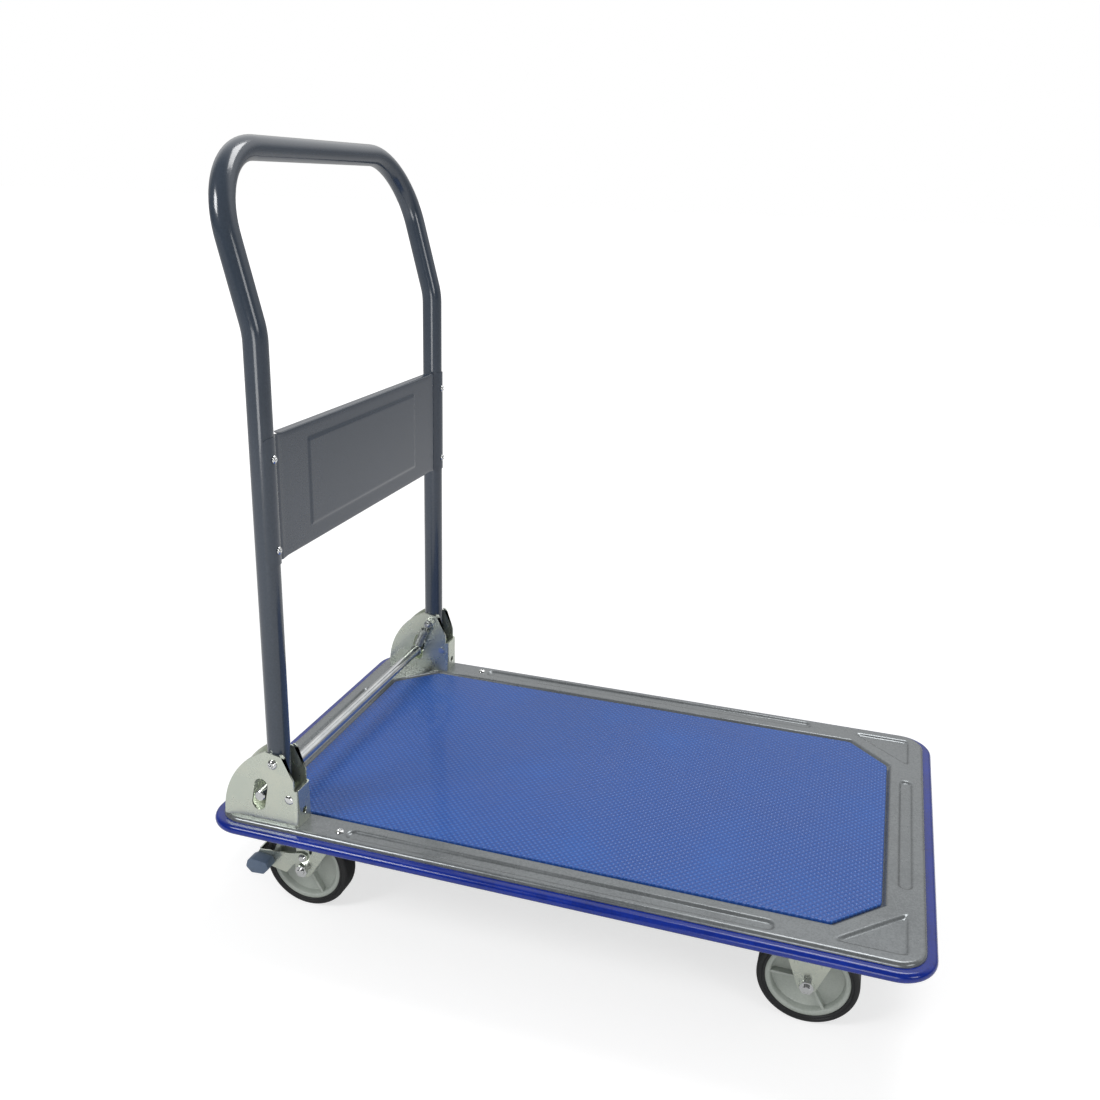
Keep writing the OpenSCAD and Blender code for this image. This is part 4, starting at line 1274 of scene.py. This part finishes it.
@dataclass
class Casters:
    """Forks, brakes and fasteners of the four casters."""

    at: Flat = (261.0, 152.0)
    trail: float = 28.0
    axle: float = 50.0
    plate_low: float = 117.0
    inner: float = 15.0
    sheet: float = 2.0
    fold: float = 4.5
    crown: float = 106.0
    lever: float = 17.4

    def yoke(self, leg: Loop, holes: Sequence[Loop], top: float, ends: Flat, dimple: bool) -> Shell:
        """Folds a fork from its leg outline: two legs, two bends and the crown between them.

        Args:
            leg: the leg's outline below the bend.
            holes: the leg's holes.
            top: the crown's upper face.
            ends: the crown's extent along X.
            dimple: whether a half-round stiffener is pressed over the axle.

        Returns:
            The fork about the axle's middle in Y.
        """
        outer = self.inner + self.sheet
        flat = outer - self.fold
        shell = Shell()
        side = plate(leg, holes, self.sheet)
        shell.add(side, standing(self.inner)).add(side, standing(-outer))
        for sign, start in ((1, 0), (-1, 90)):
            fold = bend(self.fold, self.sheet, start, ends[1] - ends[0])
            shell.add(fold, lambda p, s=sign: (ends[0] + p[2], s * flat + p[0], top - self.fold + p[1]))
        crown = plate([(ends[0], -flat), (ends[1], -flat), (ends[1], flat), (ends[0], flat)], [], self.sheet)
        shell.add(crown, moved(0, 0, top - self.sheet))
        if dimple:
            for sign in (1, -1):
                rows = []
                for i in range(25):
                    a = math.pi * i / 24
                    ring = [(13 + 1.6 * math.cos(b), 1.0 * math.sin(b))
                            for b in (math.pi * k / 6 for k in range(7))]
                    rows.append([(r * math.cos(a), sign * (outer + 0.02 + h),
                                  self.axle + 22 + r * math.sin(a)) for r, h in ring])
                shell.grid(rows)
        return shell

    def front_fork(self) -> Shell:
        """Returns a fixed fork with its plate, about its middle."""
        top = self.plate_low
        hole = arc((0, self.axle), 4.1, 0, 345, 23)
        toe = arc((0, self.axle), 10, 200, 340, 14)
        leg = toe + [(35 - 0.2, top - self.fold), (-35 + 0.2, top - self.fold)]
        shell = self.yoke(leg, [hole], top, (-34.8, 34.8), True)
        return shell.add(self.top_plate())

    def top_plate(self) -> Shell:
        """Returns a caster's mounting plate."""
        base = rounded([(-36, -32), (36, -32), (36, 32), (-36, 32)], 7)
        return Shell().add(plate(base, [], 3.0, 0.4), moved(0, 0, self.plate_low))

    def swivel_fork(self) -> Shell:
        """Returns a swivel fork, from the kingpin's axis."""
        t, z = -self.trail, self.axle
        top = self.crown - self.fold
        outline = arc((t, z), 10.5, 180, 322, 14) + [(17.6, top), (t - 5.3, top)]
        slot = arc((-19, 72), 2, 180, 360, 6) + arc((-17, 84), 2, 0, 180, 6)
        holes = [arc((t, z), 4.1, 0, 345, 23), slot]
        shell = self.yoke(outline, holes, self.crown, (t - 5.0, 18.0), False)
        cup = [(6.3, self.crown - 2.9), (23.5, self.crown - 2.9), (25, self.crown - 1.6),
               (25, self.crown + 1.2),
               (24.2, self.crown + 1.8), (21.5, self.crown + 1.8), (19, self.crown + 1.2),
               (16.5, self.crown + 1.8),
               (6.3, self.crown + 1.8)]
        ring = turned_y(cup, 64)
        return shell.add(ring, lambda p: (p[0], p[2], p[1]))

    def brake(self) -> Shell:
        """Returns the brake lever, from the axle."""
        shape = [(0, 21.5), (-14, 18), (-53.6, 14), (-55.6, 10), (-55.6, 0), (-44, -3), (-21, -8), (-11, 5),
                 (-3, 9.3), (5.5, 12), (6, 19)]
        side = plate(rounded(shape, 3.0), [arc((0, 15), 2.6, 0, 330, 11)], self.sheet)
        shell = Shell().add(side, standing(self.lever)).add(side, standing(-self.lever - self.sheet))
        reach = self.lever + self.sheet
        flat = reach - self.fold
        shoe = plate([(-flat, 0.2), (flat, 0.2), (flat, 13.8), (-flat, 13.8)], [], self.sheet)
        shell.add(shoe, lambda p: (-55.6 + p[2], p[0], p[1]))
        return shell

    def pedal(self) -> Shell:
        """Returns the pedal's moulded pad, outward from the lever, with grip ridges on top."""
        outline = rounded([(-61, 1), (-59, 8), (-54, 11), (-37, 9), (-35, 3), (-41, -4), (-55, -5)], 2.4)
        shell = Shell().add(plate(outline, [], 16.0, 1.2), standing(19.4))
        for k in range(4):
            x = -52.5 + 4.2 * k
            z = 10.75 - 0.118 * (x + 54)
            rows = [[(x + 0.8 * math.cos(b), y, z + 0.6 * math.sin(b) - 0.1)
                     for b in (math.pi * i / 6 for i in range(7))]
                    for y in (21.5, 33.3)]
            shell.grid(rows).cap(rows[0]).cap(rows[1])
        return shell

    def build(self, hardware: Hardware) -> None:
        """Builds the casters' pieces."""
        x, y = self.at
        rear = -x - self.trail
        ways = {"left": (Facing.LEFT, Facing.RIGHT), "right": (Facing.RIGHT, Facing.LEFT)}
        head = hardware.hexagon(7.5, 5.0, 0.5, 0.01, 4.0, 2 * self.inner + 2 * self.sheet)
        nut = hardware.hexagon(7.5, 6.5, 4.0, 2.5)
        outer = self.inner + self.sheet
        front_heads, front_nuts = [], []
        for name, side in SIDES:
            out, back = ways[name]

            def put(ox: float, oz: float, s: float = side) -> Callable[[Spot], Spot]:
                """Returns what moves a left-hand shape to its own side."""
                return lambda p: (ox + p[0], s * (y + p[1]), oz + p[2])

            fork = Shell().add(self.front_fork(), put(x, 0)).piece(f"{name}_front_fork_pressed",
                                                                   "zinc_plate", 22)
            settle(fork, "deck", f"{name}_front_fork")
            yoke = Shell().add(self.swivel_fork(), put(-x, 0)).piece(f"{name}_swivel_fork_pressed",
                                                                     "zinc_plate", 22)
            settle(yoke, f"{name}_swivel", f"{name}_swivel_fork")
            lever = Shell().add(self.brake(), put(rear, self.axle)).piece(f"{name}_brake_lever_pressed",
                                                                          "zinc_plate", 22)
            settle(lever, f"{name}_brake", f"{name}_brake_lever")
            pad = Shell().add(self.pedal(), put(rear, self.axle)).piece(f"{name}_brake_pedal",
                                                                        "pad_plastic", 40)
            settle(pad, f"{name}_brake", f"{name}_brake_pad")
            far, near = side * (y + outer), side * (y - outer)
            front_nuts.append(((x, far, self.axle), out))
            front_heads.append(((x, near, self.axle), back))
            bolt = hardware.place(f"{name}_rear_axle_head", "bright_zinc", head,
                                  [((rear, near, self.axle), back)])
            settle(bolt, f"{name}_swivel", f"{name}_rear_axle_bolt")
            end = hardware.place(f"{name}_rear_axle_hex", "bright_zinc", nut, [((rear, far, self.axle), out)])
            settle(end, f"{name}_swivel", f"{name}_rear_axle_nut")
            for wheel, wx in (("front", x), ("rear", rear)):
                Wheel(f"{name}_{wheel}", (wx, side * y, self.axle)).build()
        settle(hardware.place("front_axle_heads", "bright_zinc", head, front_heads), "deck",
               "front_axle_bolts")
        settle(hardware.place("front_axle_hexes", "bright_zinc", nut, front_nuts), "deck", "front_axle_nuts")
        spots = [((sx * x + dx, s * y + dy, self.plate_low), Facing.DOWN)
                 for _, s in SIDES for sx in (1, -1) for dx in (-27, 27) for dy in (-23.5, 23.5)]
        bolts = hardware.place("caster_hex_bolts", "bright_zinc",
                               hardware.hexagon(5.8, 4.0, 2.6, 0.2, 3.0, 11.0), spots)
        settle(bolts, "deck", "caster_bolts")


class Carried:
    """CAD nodes whose shape is right: they stay, with a finish of their own."""

    slots = {
        "under_paint": ("front_cross_member", "rear_cross_member", "side_rails"),
        "zinc_plate": ("left_swivel_plate", "right_swivel_plate"),
        "bright_bar": ("lock_bar",),
        "bright_zinc": (
            "deck_nuts", "bracket_nuts", "pivot_nuts", "caster_nuts", "kingpins", "swivel_balls",
            "left_brake_rivets", "right_brake_rivets",
            "left_front_bush", "right_front_bush", "left_rear_bush", "right_rear_bush",
        ),
    }

    def dress(self) -> None:
        """Puts the finishes on the carried nodes."""
        for slot, nodes in self.slots.items():
            for name in nodes:
                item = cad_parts[name]
                item.data.materials.clear()
                item.data.materials.append(FINISHES[slot].material())
                LOG.info("%s keeps its CAD shape in %s", name, slot)


@dataclass
class Studio:
    """The floor, the lights and the camera."""

    place: Spot = (0.25918, -1.07149, 0.78406)
    azimuth: float = 16.86
    elevation: float = 18.90
    roll: float = 1.80
    lens: float = 35.42
    sensor: float = 36.0

    def floor(self) -> None:
        """Lays a plain white floor that keeps the shadow."""
        mesh = bpy.data.meshes.new("floor")
        far, low = 30.0, -0.0003
        mesh.from_pydata([(-far, -far, low), (far, -far, low), (far, far, low), (-far, far, low)], [],
                         [(0, 1, 2, 3)])
        item = bpy.data.objects.new("floor", mesh)
        bpy.context.scene.collection.objects.link(item)
        made = bpy.data.materials.new("white_floor")
        made.use_nodes = True
        tree = made.node_tree
        tree.nodes.clear()
        place = add_node(tree, "ShaderNodeTexCoord").outputs["Object"]
        away = add_node(tree, "ShaderNodeVectorMath", {"operation": "LENGTH"}, n0=place).outputs["Value"]
        far_off = add_node(tree, "ShaderNodeMapRange", Value=away, From_Min=0.9, From_Max=3.2)
        path = add_node(tree, "ShaderNodeLightPath")
        seen = add_node(
            tree, "ShaderNodeMath", {"operation": "MAXIMUM"}, n0=path.outputs["Is Camera Ray"],
            n1=path.outputs["Is Transmission Ray"],
        )
        glow = add_node(tree, "ShaderNodeMapRange", Value=far_off.outputs[0], To_Min=0.66, To_Max=1.0)
        lit = add_node(tree, "ShaderNodeEmission", Color=(1, 1, 1, 1), Strength=glow.outputs[0])
        plain = add_node(tree, "ShaderNodeBsdfDiffuse", Color=(0.5, 0.5, 0.5, 1))
        near = add_node(tree, "ShaderNodeAddShader", n0=lit.outputs[0], n1=plain.outputs[0])
        other = add_node(tree, "ShaderNodeBsdfDiffuse", Color=(0.8, 0.8, 0.8, 1))
        mixed = add_node(
            tree, "ShaderNodeMixShader", n0=seen.outputs[0], n1=other.outputs[0], n2=near.outputs[0]
        )
        add_node(tree, "ShaderNodeOutputMaterial", Surface=mixed.outputs[0])
        mesh.materials.append(made)

    def world(self) -> None:
        """Lights the scene softly, with white behind it for the camera and for gloss."""
        world = bpy.data.worlds.new("studio")
        bpy.context.scene.world = world
        world.use_nodes = True
        tree = world.node_tree
        tree.nodes.clear()
        path = add_node(tree, "ShaderNodeLightPath")
        way = add_node(tree, "ShaderNodeTexCoord").outputs["Generated"]
        axes = add_node(tree, "ShaderNodeSeparateXYZ", Vector=way)
        behind = add_node(
            tree, "ShaderNodeMapRange", {"interpolation_type": "SMOOTHSTEP"}, Value=axes.outputs["Y"],
            From_Min=-0.1, From_Max=0.55, To_Min=0.16, To_Max=1.0,
        )
        above = add_node(
            tree, "ShaderNodeMapRange", {"interpolation_type": "SMOOTHSTEP"}, Value=axes.outputs["Z"],
            From_Min=0.05, From_Max=0.5, To_Min=0.3, To_Max=1.0,
        )
        sky = add_node(
            tree, "ShaderNodeMath", {"operation": "MULTIPLY"}, n0=behind.outputs[0], n1=above.outputs[0]
        )
        seen = add_node(
            tree, "ShaderNodeMath", {"operation": "MULTIPLY"}, n0=path.outputs["Is Glossy Ray"],
            n1=sky.outputs[0]
        )
        shown = add_node(
            tree, "ShaderNodeMath", {"operation": "MAXIMUM"}, n0=path.outputs["Is Camera Ray"],
            n1=seen.outputs[0]
        )
        level = add_node(
            tree, "ShaderNodeMapRange", Value=path.outputs["Is Diffuse Ray"], To_Min=0.0, To_Max=0.42
        )
        total = add_node(
            tree, "ShaderNodeMath", {"operation": "MAXIMUM"}, n0=shown.outputs[0], n1=level.outputs[0]
        )
        back = add_node(tree, "ShaderNodeBackground", Strength=total.outputs[0], Color=(1, 1, 1, 1))
        add_node(tree, "ShaderNodeOutputWorld", Surface=back.outputs[0])

    def lamp(self, name: str, spot: Spot, size: float, power: float) -> None:
        """Adds one square soft light aimed at the object's middle.

        Args:
            name: the light's name.
            spot: where it hangs, in metres.
            size: its side, in metres.
            power: its power in watts.
        """
        data = bpy.data.lights.new(name, "AREA")
        data.size = size
        data.energy = power
        item = bpy.data.objects.new(name, data)
        item.location = spot
        item.rotation_euler = (Vector((0, 0, 0.35)) - Vector(spot)).to_track_quat("-Z", "Y").to_euler()
        bpy.context.scene.collection.objects.link(item)

    def camera(self) -> None:
        """Sets the camera where the view is from."""
        a, e, r = (math.radians(v) for v in (self.azimuth, self.elevation, self.roll))
        look = Vector((-math.sin(a) * math.cos(e), math.cos(a) * math.cos(e), -math.sin(e)))
        right = Vector((math.cos(a), math.sin(a), 0))
        up = right.cross(look)
        right, up = right * math.cos(r) + up * math.sin(r), up * math.cos(r) - right * math.sin(r)
        data = bpy.data.cameras.new("camera")
        data.lens = self.lens
        data.sensor_width = self.sensor
        item = bpy.data.objects.new("camera", data)
        turn = Matrix((right, up, -look)).transposed().to_4x4()
        item.matrix_world = Matrix.Translation(self.place) @ turn
        bpy.context.scene.collection.objects.link(item)
        bpy.context.scene.camera = item

    def build(self) -> None:
        """Sets up the studio."""
        self.camera()
        self.floor()
        self.world()
        self.lamp("key", (-1.5, -1.9, 2.1), 0.9, 34)
        self.lamp("top", (0.5, 0.9, 2.6), 1.1, 26)
        self.lamp("fill", (2.3, -1.4, 1.3), 0.8, 9)
        self.lamp("low", (0.5, -2.3, 0.3), 0.8, 9)
        bpy.context.scene.view_settings.view_transform = "Standard"


def main() -> None:
    """Builds the sub-assemblies in order."""
    logging.basicConfig(level=logging.INFO, format="%(name)s: %(message)s")
    Studio().build()
    hardware = Hardware()
    Carried().dress()
    Deck().build(hardware)
    Brackets().build(hardware)
    Handle().build(hardware)
    Casters().build(hardware)


if __name__ == "__main__":
    main()
